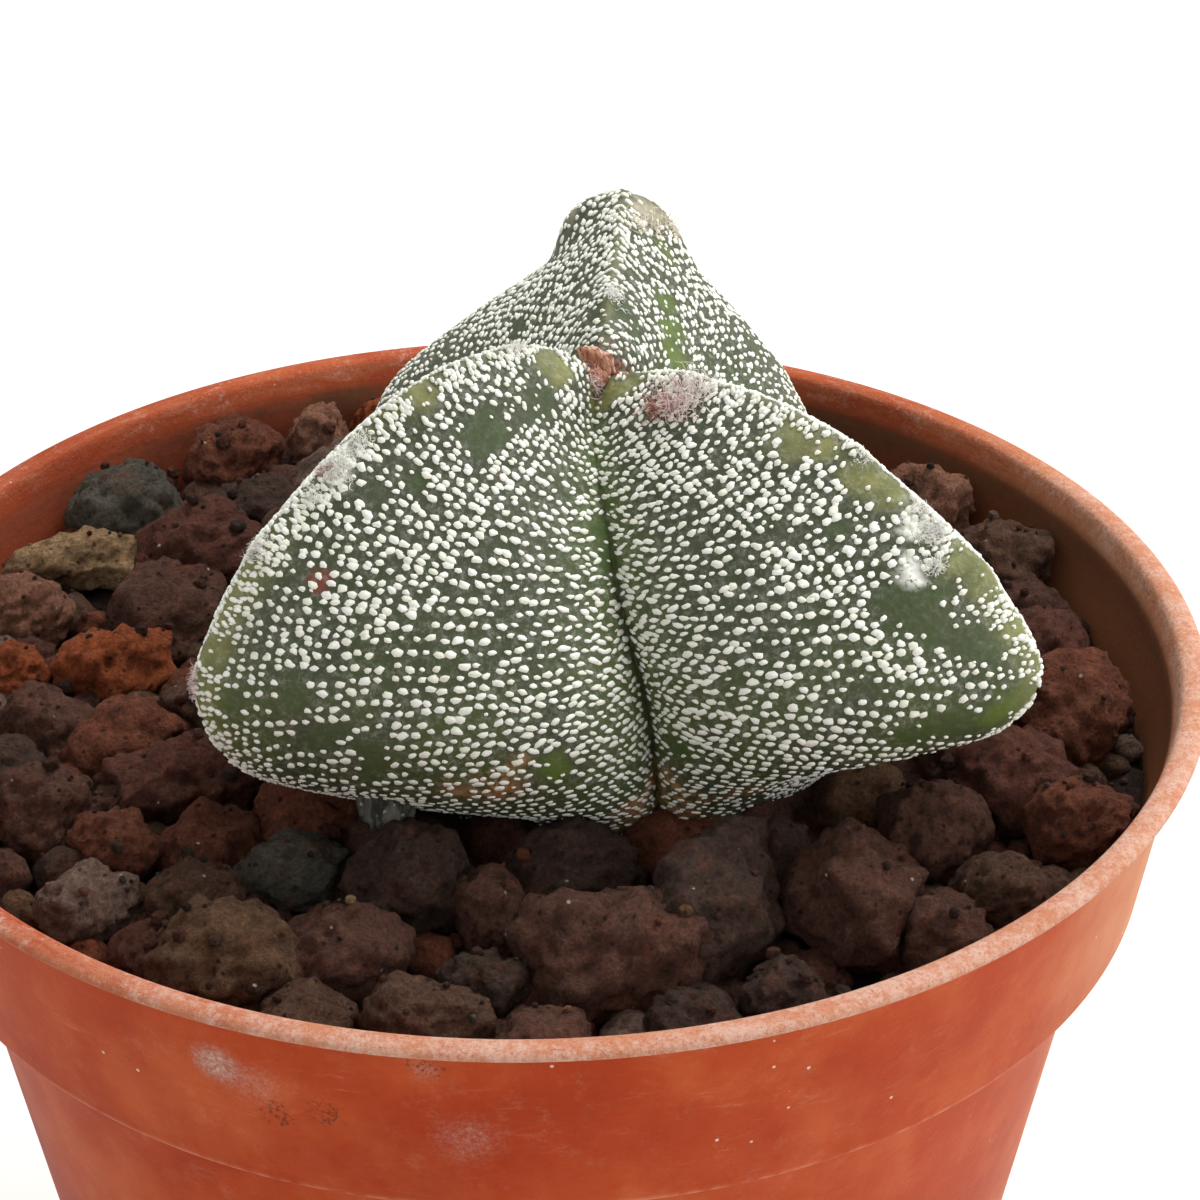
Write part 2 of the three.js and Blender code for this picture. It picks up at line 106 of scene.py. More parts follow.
# The rules that place stones between the laid ones, and small stones in the gaps that are left. Spacing is the least
# distance between two stones as a share of their sizes, and clear the least distance from the plant's middle.
FILL = {"seed": 20417, "tries": 1500, "smallest": 5.6, "largest": 9.0, "spacing": 0.43, "clear": 11, "sink": 0.2}
SMALL = {"seed": 733, "smallest": 2.0, "largest": 4.4, "spacing": 0.36, "clear": 9.0, "sink": 0.9}
# Cells along a side of the ball that a stone is cut from, the number of a lot's first stone, and seeds of the tones.
LAID_CELLS, FILL_CELLS, SMALL_CELLS, CRUMB_CELLS = 18, 13, 5, 2
SMALL_FIRST, CRUMB_FIRST = 400, 900
FILL_TONES, SMALL_TONES, CRUMB_TONES = 5, 6, 8
CRUMB_SEED = 77
DROP_HEIGHT = 100
CRUMB_SMALLEST = 0.25
CRUMB_SPREAD = 0.9
CRUMB_REACH = 39
CRUMB_LEVEL = 0.45
CRUMB_ROUGHNESS = 0.5

# Stones' tones, and how often the seeded rule picks each one.
STONE_TONES = {
    "umber": ((90, 60, 48), 6), "brown": ((90, 64, 49), 6), "dark": ((72, 54, 45), 5), "wine": ((92, 55, 43), 5),
    "red": ((108, 62, 44), 3), "ash": ((120, 96, 83), 0.8), "olive": ((99, 72, 52), 1.5), "rust": ((118, 66, 44), 1),
    "grey": ((84, 79, 68), 0.5), "pink": ((134, 92, 72), 1.2), "sand": ((154, 124, 90), 0.3),
    "orange": ((144, 74, 40), 0),
}
SOIL_TONE = (48, 34, 28)

# Unevenness of the surfaces: layers of noise, each with its height, size and seed.
STONE_LUMPS = [(0.08, 1.9, 11), (0.07, 0.9, 12), (0.05, 0.45, 13)]
PIT_DEPTH, PIT_SIZE, PIT_SEED = 0.05, 0.6, 14
SOIL_LUMPS = [(0.7, 2.4, 21), (0.4, 0.9, 22)]
SKIN_LUMPS = [(0.16, 4.5, 31), (0.06, 1.7, 32)]
SPOT_EDGES = [(1.6, 1.7, 41), (0.7, 0.7, 42)]
NUB_KNOBS = [(0.1, 1 / 3, 61), (0.05, 1 / 7, 62)]
LATTICE_PRIMES = np.array([73856093, 19349663, 83492791])
NOISE_VALUES = 4096
WELD = 2e-4

# Stones that lie where they are seen: place x, y, height over the gravel's level, length, width, height, turn, tone.
LAID_STONES = [
    (4.9, -27.9, 0.6, 11.2, 8.2, 7.6, 10, "umber"),
    (10.9, -24.4, 1.4, 6.4, 10.6, 8.2, -24, "dark"),
    (18.9, -23.8, 1.0, 7.0, 8.4, 7.4, 20, "umber"),
    (2.4, -19.3, 0.2, 8.0, 5.6, 5.2, 0, "dark"),
    (-7.0, -20.9, 0.9, 6.8, 7.2, 6.8, 35, "dark"),
    (-10.6, -27.3, 0.4, 7.2, 6.0, 5.4, 0, "umber"),
    (-17.1, -28.1, 0.7, 8.4, 6.6, 6.2, -15, "olive"),
    (-25.7, -21.8, 0.5, 6.0, 4.8, 4.4, 30, "ash"),
    (-13.9, -18.2, 0.0, 6.4, 4.6, 4.2, 10, "grey"),
    (-29.8, -12.7, 0.8, 5.6, 6.4, 5.8, 0, "umber"),
    (-21.3, -8.9, 0.2, 9.4, 5.8, 5.0, 8, "wine"),
    (-24.7, -15.7, 0.3, 5.4, 4.4, 4.0, -20, "red"),
    (-19.5, -21.2, 0.2, 5.4, 4.6, 4.0, 0, "brown"),
    (-21.9, -26.5, 0.0, 4.2, 3.8, 3.6, 40, "wine"),
    (-2.3, -23.2, 0.3, 4.2, 4.8, 5.0, 0, "umber"),
    (-2.6, -29.4, -0.2, 5.2, 4.2, 3.6, 0, "dark"),
    (-6.0, -33.0, 0.2, 7.0, 4.6, 4.2, -8, "brown"),
    (14.9, -19.4, 0.2, 3.6, 5.6, 5.0, 0, "dark"),
    (14.2, -31.2, 0.0, 4.4, 4.4, 3.8, 0, "dark"),
    (23.8, -16.3, 0.6, 7.0, 5.8, 5.6, 25, "umber"),
    (29.2, -11.2, 0.8, 7.8, 6.0, 6.0, -20, "wine"),
    (23.6, -26.4, 0.3, 6.4, 5.4, 4.8, -30, "umber"),
    (27.4, -21.6, 0.1, 5.2, 4.4, 4.0, 0, "brown"),
    (33.0, -15.4, 0.8, 5.8, 5.0, 5.0, 10, "red"),
    (34.0, -2.6, 0.6, 8.6, 7.0, 6.6, 80, "red"),
    (33.6, 5.2, 0.3, 5.4, 6.4, 5.4, 0, "wine"),
    (28.0, 24.0, 0.9, 6.6, 6.2, 5.8, 0, "pink"),
    (32.2, 16.6, 0.6, 6.2, 5.8, 5.2, 30, "brown"),
    (-28.0, 23.6, 1.0, 7.2, 6.6, 6.8, 0, "grey"),
    (-20.8, 30.4, 1.6, 6.8, 5.6, 5.2, 20, "red"),
    (-14.6, 33.6, 1.5, 4.2, 4.4, 4.4, 0, "pink"),
    (-9.6, 35.4, 1.2, 5.2, 4.6, 4.6, 0, "orange"),
    (-29.6, 16.9, 1.4, 10.6, 4.2, 3.8, 8, "sand"),
    (-33.4, 10.6, 0.9, 6.2, 5.0, 4.6, 0, "pink"),
    (-21.6, 17.2, 0.9, 8.8, 7.6, 7.4, -15, "wine"),
    (-26.4, 3.6, 0.8, 7.6, 5.4, 5.2, 20, "orange"),
    (-32.8, 3.4, 0.7, 3.6, 3.8, 3.6, 0, "orange"),
    (27.4, 10.7, 0.3, 6.0, 6.0, 5.4, 45, "brown"),
]

# Plant, as in the frame. A ridge runs from the crown over the tip and under to the root, as distance out and height.
# Crest is the half width of the ridge's roll, drop how far the roll falls over that width, and plump how far the flank
# on each side of the ridge bulges, each from the crown to the neck. Areoles are places down the ridge and heights.
PLANT_PLACE = np.array([4.5, -4.0, GRAVEL_LEVEL])
NECK_SHARE = 10 / 12
AREOLE_SPREAD = 1.8
ROOT = [(13.4, 0), (10.5, -5), (6.5, -11), (0, -15)]
FRONT_RIB = {
    "crest": [2.2, 3.0, 3.1, 2.9, 2.6],
    "drop": [0.7, 1.2, 1.0, 0, -0.4],
    "plump": {-1: [1, 1, 1, 1, 1], 1: [1, 1, 1, 1, 1]},
    "slant": 14, "fleck_size": 1.0, "fleck_jitter": 0.19, "fleck_crest": 0.8,
}
RIBS = [
    {
        "name": "left", "azimuth": 211, **FRONT_RIB,
        "ridge": [(0, 25.2), (3.2, 27.8), (9.0, 28.7), (14.8, 26.9), (20.3, 23.1), (24.8, 18.0), (27.2, 12.8),
                  (25.7, 7.4), (19.8, 3.2), *ROOT],
        "areoles": [(0.125, 0.3), (0.375, 0.35), (0.5, 0.3)],
    },
    {
        "name": "right", "azimuth": 331, **FRONT_RIB,
        "ridge": [(0, 25.2), (2.7, 26.1), (8.2, 26.5), (14.2, 25.4), (19.6, 22.4), (24.7, 18.5), (28.4, 13.0),
                  (26.2, 8.5), (19.6, 5.6), *ROOT],
        "areoles": [(0.125, 0.4), (0.29, 0.3), (0.417, 0.4)],
    },
    {
        "name": "rear", "azimuth": 84,
        "ridge": [(0, 25.2), (3.4, 27.0), (9.4, 27.9), (15.6, 28.7), (21.2, 26.5), (26.0, 22.7), (28.4, 18.0),
                  (27.0, 9.6), (20.5, 4.2), *ROOT],
        "crest": [2.2, 2.6, 3.6, 4.0, 2.6],
        "drop": [0.7, 1.5, 2.4, 1.0, -0.4],
        "plump": {-1: [0.95, 1.35, 1.38, 1.28, 1.25], 1: [0.95, 1.0, 1.95, 2.1, 1.6]},
        "areoles": [(0.125, 0.3), (0.25, 0.35), (0.458, 0.5)],
        "slant": 75, "fleck_size": 0.9, "fleck_jitter": 0.3, "fleck_crest": 0.45,
    },
]
# A furrow runs down between each rib and the next: distance out and height, and a turn from its middle azimuth.
FURROW = [(0, 25.2), (2.4, 23.6), (5.5, 21.6), (8.0, 19.0), (9.8, 16.2), (11.1, 13.0), (11.7, 9.7),
          (11.8, 6.5), (11.3, 3.3), (10.2, 0.2), (9.0, -5), (6.0, -11), (0, -15)]
FURROWS = [
    {"azimuth": 271, "turn": [-16, -12, -4, 1, 3.5, 7.5, 11, 13, 15, 17, 17, 17, 17]},
    {"azimuth": 28.5, "turn": [0, 0]},
    {"azimuth": 148.5, "turn": [0, 0]},
]
# How a flank leaves its furrow: angle from the rib's own direction, rise, and share of the way that it keeps them.
FLANK_LEAVE = [20, 31, 42, 44, 38]
FLANK_LIFT = [0, 0, 6, 14, 18]
FLANK_REACH = [0.34, 0.34, 0.41, 0.43, 0.36]
ROLL_SHARE = 0.6
FULL_FALL_SPAN = 5
BOSS_RIB = 2
# The boss's swellings: middle, radius and push, each vector as its parts out, left of the ridge, and up.
BOSS_SWELLINGS = [
    ((20.6, 0, 26), 4.2, (0.35, 0, 0.94)),
    ((21.0, 3.4, 27), 3.2, (0.1, 1.3, 0.9)),
    ((19.5, -4.0, 27), 3.2, (0.45, -0.1, 0.85)),
]
SKIN_MIDDLE = np.array([0.0, 0.0, 8.0])
NUB_PLACE = np.array([-12.9, -13.4, 4.3])
NUB_SIZE = np.array([3.2, 2.8, 3.8])
NUB_CELLS = 14

# Flecks grow between these places on a flank, in rows that start beside the furrow. ROW_SPLIT is how far apart two
# rows may come, as a share of their spacing, before another runs between them.
FLECKS_ACROSS = (0.02, 0.999)
FLECKS_DOWN = (0.012, 0.77)
FLECK_LOWEST = 0.008
FLECK_SEED = 500
FLECK_SIDES = 7
FLECK_FOOT = 0.08
FURROW_WALK = 0.12
FURROW_SLANT = 26
ROW_SPLIT = 1.9
ROW_PARTS = 4
BELOW_CROWN = (0.12, 0.35)

# Spots on the skin, in the plant's frame: x, y, z and radius.
BARE_SPOTS = [
    (16.6, -14.0, 17.9, 1.6), (18.9, -14.3, 16.9, 1.9), (20.6, -14.5, 15.6, 1.5), (20.2, -16.0, 11.0, 1.5),
    (22.6, -15.2, 11.4, 1.7), (17.8, -16.4, 10.8, 1.0), (-17.8, -16.3, 13.4, 1.1), (-16.3, -16.9, 11.0, 1.5),
    (-13.4, -17.2, 10.0, 1.2), (-21.6, -15.3, 12.7, 1.1), (-2.8, -16.5, 8.9, 1.4), (4.4, -13.9, 8.1, 1.2),
    (-4.1, -5.2, 26.5, 1.2), (-6.8, -7.8, 25.8, 1.1), (-11.2, -10.5, 24.0, 0.9), (-12.6, -10.9, 23.6, 0.8),
    (-0.5, -8.5, 19.6, 0.7), (0.3, -9.1, 17.9, 0.6), (13.5, -11.4, 21.2, 1.0), (9.0, -10.8, 21.5, 0.6),
    (7.0, -15.2, 13.7, 0.8), (4.2, 14.9, 26.7, 1.0), (3.9, 11.8, 26.5, 0.6), (4.0, 9.4, 25.6, 0.8),
    (4.2, 7.4, 24.8, 1.2), (4.4, 5.7, 24.0, 1.2), (-4.7, 11.8, 23.1, 1.0), (0.6, 4.5, 27.2, 1.1),
    (1.5, 5.0, 26.8, 1.0), (9.7, 14.0, 20.3, 1.0), (22.0, -6.0, 14.0, 1.6),
    (12.0, 3.2, 16.0, 1.3), (14.5, 4.0, 8.5, 1.5), (8.5, 18.0, 14.0, 1.5), (-8.0, 19.5, 12.5, 1.6),
    (-12.5, 9.0, 15.5, 1.3), (-17.5, -3.5, 17.0, 1.4), (-21.0, -6.5, 9.5, 1.4), (-14.0, 3.0, 9.0, 1.2),
]
FRESH_SPOTS = [
    (4.2, 14.9, 26.7, 1.1), (4.0, 9.4, 25.6, 0.8), (4.2, 7.4, 24.8, 1.3), (4.4, 5.7, 24.0, 1.3),
    (-2.8, -16.5, 8.9, 1.2), (22.6, -15.2, 11.4, 1.2),
]
# Bare spots on the crests. They also take the crest colour, which is partly a painted highlight.
CREST_SPOTS = [
    (-14.1, -8.3, 26.0, 1.2), (-12.1, -7.2, 27.2, 1.3), (-10.5, -6.6, 28.0, 1.1), (10.7, -7.4, 25.2, 1.5),
    (12.4, -8.0, 24.6, 0.9), (14.6, -9.5, 23.2, 1.2), (16.0, -9.8, 22.6, 1.1), (19.8, -12.3, 19.4, 1.0),
    (21.5, -12.9, 17.9, 1.2), (23.2, -13.6, 15.6, 1.0), (0.1, -1.3, 24.9, 1.4), (-2.5, -2.6, 27.3, 1.2),
    (-22.7, -14.1, 14.6, 1.2), (1.4, -1.8, 25.6, 1.1),
]
CAP_SPOTS = [(3.6, 18.1, 27.9, 1.6), (4.6, 18.2, 27.0, 1.4), (2.6, 17.6, 28.4, 0.9), (-1.3, 19.8, 26.8, 0.8)]
CORK_SPOTS = [
    (-6.5, -17.2, 8.0, 1.7), (-9.0, -17.0, 8.2, 0.9), (4.5, -12.4, 3.7, 2.6), (1.2, -13.5, 3.0, 1.9),
    (8.0, -13.8, 4.4, 1.3), (11.0, 6.5, 2.6, 2.4), (-10.5, 8.0, 2.4, 2.6), (0.5, 20.5, 5.0, 1.6),
]
SCAR_SPOTS = [(-16.0, -13.7, 19.5, 0.55), (-5.7, -9.7, 23.7, 0.4), (20.4, -15.4, 12.6, 0.5), (6.0, 19.5, 18.5, 0.5)]
HOLLOW_SPOTS = [(1.5, 0.2, 25.8, 1.1), (0.8, 0.9, 25.2, 1.2), (0.2, -0.2, 25.0, 0.8)]
BLOOM_SPOTS = [
    (18.5, -11.0, 20.9, 1.0), (19.0, -11.6, 20.1, 0.7), (17.3, -12.7, 19.5, 0.6), (-15.5, -9.9, 24.4, 0.9),
    (-14.7, -9.4, 25.0, 0.8), (-16.4, -10.6, 23.4, 0.7),
]
# Marks that the skin carries: their spots, how ragged these are, and how soft at the edge.
SKIN_SPOTS = {
    "crest": (CREST_SPOTS, 0.3, 0.6), "bare": (BARE_SPOTS, 0.6, 0.6), "fresh": (FRESH_SPOTS, 0.5, 0.8),
    "cap": (CAP_SPOTS, 0.3, 0.5), "cork": (CORK_SPOTS, 0.5, 0.8), "scar": (SCAR_SPOTS, 0.3, 0.25),
    "hollow": (HOLLOW_SPOTS, 0.3, 0.8), "bloom": (BLOOM_SPOTS, 0.9, 0.6),
}

# Areoles: rib, side, u, v, radius, share of the full number of hairs, length of hair, and tone.
AREOLES = [
    (1, -1, 0.80, 0.138, 1.3, 0.33, 1.9, "mauve"), (1, -1, 0.70, 0.126, 0.7, 0.16, 1.3, "russet"),
    (1, -1, 0.90, 0.145, 1.0, 0.15, 1.6, "white"), (1, -1, 0.95, 0.368, 0.55, 0.8, 0.7, "white"),
    (1, -1, 0.85, 0.388, 0.5, 0.35, 0.5, "white"), (1, -1, 0.99, 0.350, 0.45, 0.25, 0.7, "white"),
    (1, -1, 0.97, 0.290, 0.6, 0.1, 0.6, "white"),
    (0, 1, 0.955, 0.300, 0.9, 0.4, 0.8, "white"), (0, 1, 0.955, 0.275, 0.6, 0.2, 0.7, "white"),
    (0, 1, 0.94, 0.325, 0.6, 0.2, 0.7, "white"), (0, 1, 0.98, 0.305, 0.4, 0.08, 0.7, "russet"),
    (0, 1, 0.99, 0.125, 0.7, 0.2, 0.7, "white"), (0, 1, 0.99, 0.375, 0.8, 0.3, 0.7, "white"),
    (0, -1, 0.97, 0.500, 0.8, 0.3, 0.7, "mauve"), (2, -1, 0.90, 0.245, 0.7, 0.06, 1.4, "straw"),
    (2, -1, 0.83, 0.268, 0.7, 0.07, 1.4, "straw"), (2, -1, 0.77, 0.292, 0.6, 0.06, 1.3, "straw"),
    (2, -1, 0.97, 0.125, 0.7, 0.2, 0.7, "white"), (2, 1, 0.98, 0.458, 1.0, 0.4, 0.9, "mauve"),
    (0, 1, 0.90, 0.020, 0.9, 0.3, 0.9, "russet"), (0, 1, 0.60, 0.030, 0.8, 0.2, 1.0, "mauve"),
    (2, -1, 0.50, 0.030, 1.2, 0.4, 0.9, "russet"),
]
HAIR_TONES = {"white": (240, 238, 230), "mauve": (228, 204, 198), "russet": (180, 114, 94), "straw": (232, 222, 202)}
HAIR_SEED = 640
HAIR_STEPS = 5
HAIR_SIDES = 3

# The dried flower's scraps, in the plant's frame: place, azimuth, lean, length, width, curl and roll.
SCRAPS = [
    ((0.5, -0.4, 25.3), 178, 30, 2.7, 1.4, 25, 75),
    ((0.5, -0.65, 25.2), 205, 42, 1.8, 1.0, 30, 60),
    ((0.7, -0.1, 25.3), 165, 18, 1.9, 0.9, 20, 80),
    ((0.8, -0.4, 25.1), 330, 35, 1.2, 0.8, 40, -50),
]
SCRAP_ROWS = 15
SCRAP_COLUMNS = 9
SCRAP_THICKNESS = 0.09

# Stage: a camera at the photograph's angle, and soft boxes with their place and size.
CAMERA_PLACE = (0.0, -189.27, 188.09)
CAMERA_TURN = 1.38
CAMERA_DIP = 30.49
CAMERA_LENS = 105.36
SENSOR_WIDTH = 36.0
NEAREST_SEEN = 10
LIGHTS = {"key": ((220, 260, 600), 350), "side": ((550, -150, 250), 400), "fill": ((-300, -500, 350), 500)}
LIGHT_AIM = (0, 0, 70)
FLOOR_REACH = 2500
FLOOR_POINTS = 9


# ---- Numbers that repeat from run to run


def seeded_random(seed):
    """A fixed sequence of numbers from 0 to 1 that only depends on the seed, the same one as in the solids' source."""
    mask = 0xFFFFFFFF
    state = seed & mask

    def draw():
        nonlocal state
        state = (state + 0x6D2B79F5) & mask
        mixed = ((state ^ (state >> 15)) * (state | 1)) & mask
        mixed ^= (mixed + (((mixed ^ (mixed >> 7)) * (mixed | 61)) & mask)) & mask
        return ((mixed ^ (mixed >> 14)) & mask) / 4294967296

    return draw


def cloud(points, size, seed):
    """Smooth noise from -1 to 1: random values on a cubic lattice of the given size, blended between its corners."""
    table = np.random.default_rng(seed).uniform(-1, 1, NOISE_VALUES)
    cell = np.floor(points / size).astype(np.int64)
    w = points / size - cell
    w = w * w * (3 - 2 * w)
    total = np.zeros(points.shape[:-1])
    for corner in np.ndindex(2, 2, 2):
        key = np.bitwise_xor.reduce((cell + corner) * LATTICE_PRIMES, -1) & (NOISE_VALUES - 1)
        total += table[key] * np.where(corner, w, 1 - w).prod(-1)
    return total


def unevenness(points, layers):
    """The sum of layers of noise, each with its height, size and seed."""
    return sum(height * cloud(points, size, seed) for height, size, seed in layers)


def ease(value, low, high):
    """0 below low, 1 above high, and a smooth step between them. Low may be the larger one."""
    t = np.clip((value - low) / (high - low), 0, 1)
    return t * t * (3 - 2 * t)


def bell(value, width):
    """1 where value is 0, falling to nothing on both sides of it in about twice the width."""
    return np.exp(-((value / width) ** 2))


def linear(red, green, blue):
    """A display colour of 0 to 255 as the linear colour that a shader takes."""
    share = np.array([red, green, blue]) / 255
    return tuple(np.where(share < 0.04045, share / 12.92, ((share + 0.055) / 1.055) ** 2.4))


def length_of(vectors):
    return np.linalg.norm(vectors, axis=-1, keepdims=True)


def unit(vectors):
    return vectors / np.maximum(length_of(vectors), 1e-9)


def from_axis(out, azimuth, height):
    """Point at a distance out from the Z axis, at an azimuth in degrees and a height."""
    out, azimuth, height = np.broadcast_arrays(out, np.asarray(azimuth) * DEGREE, height)
    return np.stack([out * np.cos(azimuth), out * np.sin(azimuth), height], -1).astype(float)


def along(knots, t):
    """Value at t, from 0 to 1, of a smooth curve through evenly spaced knots: a cubic from each knot to the next,
    whose slope at a knot is half the step between its two neighbours."""
    values = np.asarray(knots, float).reshape(len(knots), -1)
    place = np.clip(np.asarray(t, float), 0, 1) * (len(values) - 1)
    index = np.minimum(place.astype(int), len(values) - 2)
    w = (place - index)[..., None]
    before, start = values[np.maximum(index - 1, 0)], values[index]
    end, after = values[index + 1], values[np.minimum(index + 2, len(values) - 1)]
    leave, arrive = (end - before) / 2, (after - start) / 2
    bend = (2 * start - 2 * end + leave + arrive) * w + 3 * end - 3 * start - 2 * leave - arrive
    value = bend * w * w + leave * w + start
    return value if np.ndim(knots[0]) else value[..., 0]


# ---- Meshes


def grid_triangles(rows, columns, flip=False):
    """Two triangles for each cell of a grid of points, rows by columns, facing the way rows cross columns."""
    i, j = np.meshgrid(np.arange(rows - 1), np.arange(columns - 1), indexing="ij")
    a, b = (i * columns + j).ravel(), ((i + 1) * columns + j).ravel()
    triangles = np.concatenate([np.stack([a, b, b + 1], -1), np.stack([a, b + 1, a + 1], -1)])
    return triangles[:, ::-1] if flip else triangles


def joined(parts):
    """One mesh from several. Each part is (points, triangles), and may go on with values that its points carry."""
    points, triangles, *values = zip(*parts)
    starts = np.cumsum([0] + [len(part) for part in points])
    triangles = [faces + start for faces, start in zip(triangles, starts)]
    return [np.concatenate(column) for column in (points, triangles, *values)]


def repeated(points, faces):
    """One mesh of like things, each with its own row of points and all with the same faces."""
    count, each = points.shape[:2]
    triangles = faces[None] + (np.arange(count) * each)[:, None, None]
    return points.reshape(-1, 3), triangles.reshape(-1, 3)


def spread(values, points):
    """One value for each of like things, as a value for each of their points."""
    return np.repeat(values, len(points) // len(values), 0)


def welded(points, triangles, *values):
    """Joins points that coincide, and drops the triangles that this leaves without area."""
    keys = np.round(points / WELD).astype(np.int64)
    _, first, index = np.unique(keys, axis=0, return_index=True, return_inverse=True)
    faces = index.reshape(-1)[triangles]
    whole = (faces[:, 0] != faces[:, 1]) & (faces[:, 1] != faces[:, 2]) & (faces[:, 2] != faces[:, 0])
    return (points[first], faces[whole], *(value[first] for value in values))


def linked(name, data):
    """An object in the scene that shows a mesh, a light or a camera."""
    item = bpy.data.objects.new(name, data)
    bpy.context.scene.collection.objects.link(item)
    return item


def new_mesh(name, points, triangles, material):
    mesh = bpy.data.meshes.new(name)
    mesh.from_pydata(points * MM, [], triangles)
    mesh.materials.append(material)
    return linked(name, mesh)


def new_piece(name, points, triangles, material, slot, nodes=(), **attributes):
    """Makes a piece that rides on the root body. Each attribute has one number or one colour for a point."""
    piece = new_mesh(name, points, triangles, material)
    for key, values in attributes.items():
        coloured = np.ndim(values) == 2
        layer = piece.data.attributes.new(key, "FLOAT_COLOR" if coloured else "FLOAT", "POINT")
        if coloured:
            values = np.concatenate([values, np.ones((len(values), 1))], 1)
        layer.data.foreach_set("color" if coloured else "value", np.asarray(values, np.float32).ravel())
    piece.data.shade_smooth()
    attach(piece, "root")
    if nodes:
        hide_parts(*nodes)
    return piece


# ---- Shading


def arithmetic(operation, swapped=False):
    """A Python operator on fields, which adds the Math node of that operation."""

    def method(self, other):
        return self.finish.maths(operation, *((other, self) if swapped else (self, other)))

    return method


class Field:
    """A value or colour that changes over a surface: an output socket that takes part in expressions."""

    def __init__(self, finish, socket):
        self.finish = finish
        self.socket = socket

    __add__, __radd__ = arithmetic("ADD"), arithmetic("ADD", True)
    __sub__, __rsub__ = arithmetic("SUBTRACT"), arithmetic("SUBTRACT", True)
    __mul__, __rmul__ = arithmetic("MULTIPLY"), arithmetic("MULTIPLY", True)
    __pow__, __lt__ = arithmetic("POWER"), arithmetic("LESS_THAN")


class Finish:
    """A material under way. Its patterns read Object coordinates, turned to millimetres."""

    def __init__(self, name, constants):
        self.material = bpy.data.materials.new(name)
        self.material.use_nodes = True
        self.tree = self.material.node_tree
        self.shader = self.tree.nodes["Principled BSDF"]
        for socket, value in constants.items():
            self.shader.inputs[socket].default_value = value
        metres = self.node("TexCoord", {}, {}, "Object")
        self.place = self.node("VectorMath", {"operation": "SCALE"}, {"Vector": metres, "Scale": 1 / MM})

    def feed(self, socket, value):
        """Links a field to a socket, or sets the socket to a plain number or colour."""
        if isinstance(value, Field):
            self.tree.links.new(value.socket, socket)
        elif socket.type == "RGBA":
            socket.default_value = (*value, 1.0)
        else:
            socket.default_value = value

    def node(self, kind, settings, inputs, output=0):
        """Adds a node, sets its settings and then its sockets, and returns one of its outputs."""
        node = self.tree.nodes.new("ShaderNode" + kind)
        for key, value in settings.items():
            setattr(node, key, value)
        for key, value in inputs.items():
            self.feed(node.inputs[key], value)
        return Field(self, node.outputs[output])

    def maths(self, operation, a, b):
        return self.node("Math", {"operation": operation}, {0: a, 1: b})

    def layered(self, colour, *layers):
        """A colour with others laid over it in turn, each a colour and the share of it that shows."""
        for other, share in layers:
            colour = self.node("Mix", {"data_type": "RGBA"}, {0: share, 6: colour, 7: other}, 2)
        return colour

    def shaded(self, colour, brightness):
        """A colour times a value."""
        return self.node("VectorMath", {"operation": "SCALE"}, {0: colour, "Scale": brightness})

    def fade(self, value, low, high):
        """0 where value is below low and 1 above high, smoothly."""
        inputs = {"Value": value, "From Min": low, "From Max": high}
        return self.node("MapRange", {"interpolation_type": "SMOOTHSTEP"}, inputs)

    def stretched(self, x, y, z):
        """The surface's coordinates, drawn out or pressed together along each axis."""
        return self.node("VectorMath", {"operation": "MULTIPLY"}, {0: self.place, 1: (x, y, z)})

    def axis(self, letter):
        return self.node("SeparateXYZ", {}, {"Vector": self.place}, letter)

    def noise(self, size, detail=2.0, rough=0.5, warp=0.0, place=None):
        """Cloudy noise from 0 to 1, with blotches of about the given size."""
        inputs = {"Vector": place or self.place, "Scale": 1 / size, "Detail": detail, "Roughness": rough,
                  "Distortion": warp}
        return self.node("TexNoise", {}, inputs, "Fac")

    def patches(self, size, detail, rough, low, high, warp=0.0):
        """Patches of noise: 0 where it is below low and 1 where it is above high."""
        return self.fade(self.noise(size, detail, rough, warp), low, high)

    def cells(self, size, output="Distance"):
        """Cells of about the given size: the distance from each one's middle, or a random colour for each."""
        return self.node("TexVoronoi", {}, {"Vector": self.place, "Scale": 1 / size}, output)

    def specks(self, size, share, radius):
        """1 in round specks, one in some of the cells of the given size, and 0 elsewhere."""
        chosen = self.node("SeparateColor", {}, {"Color": self.cells(size, "Color")}, "Red") < share
        return self.fade(self.cells(size), radius, 0.6 * radius) * chosen

    def spots(self, *spots):
        """Spots that fade out from their places, added up: each is a place, a radius and a strength."""
        shares = []
        for place, radius, strength in spots:
            inputs = {0: self.place, 1: place}
            away = self.node("VectorMath", {"operation": "DISTANCE"}, inputs, "Value")
            shares.append(strength * self.fade(away, radius, 0.0))
        return sum(shares[1:], shares[0])

    def carried(self, name, output="Fac"):
        """A number that the piece's points carry, or their colour."""
        return self.node("Attribute", {"attribute_name": name}, {}, output)

    def done(self, colour, roughness, relief, depth):
        """Feeds the shader: relief is a height from 0 to 1, which stands for a depth in millimetres."""
        self.feed(self.shader.inputs["Base Color"], colour)
        self.feed(self.shader.inputs["Roughness"], roughness)
        bump = self.node("Bump", {}, {"Height": relief, "Distance": depth * MM}, "Normal")
        self.feed(self.shader.inputs["Normal"], bump)
        return self.material


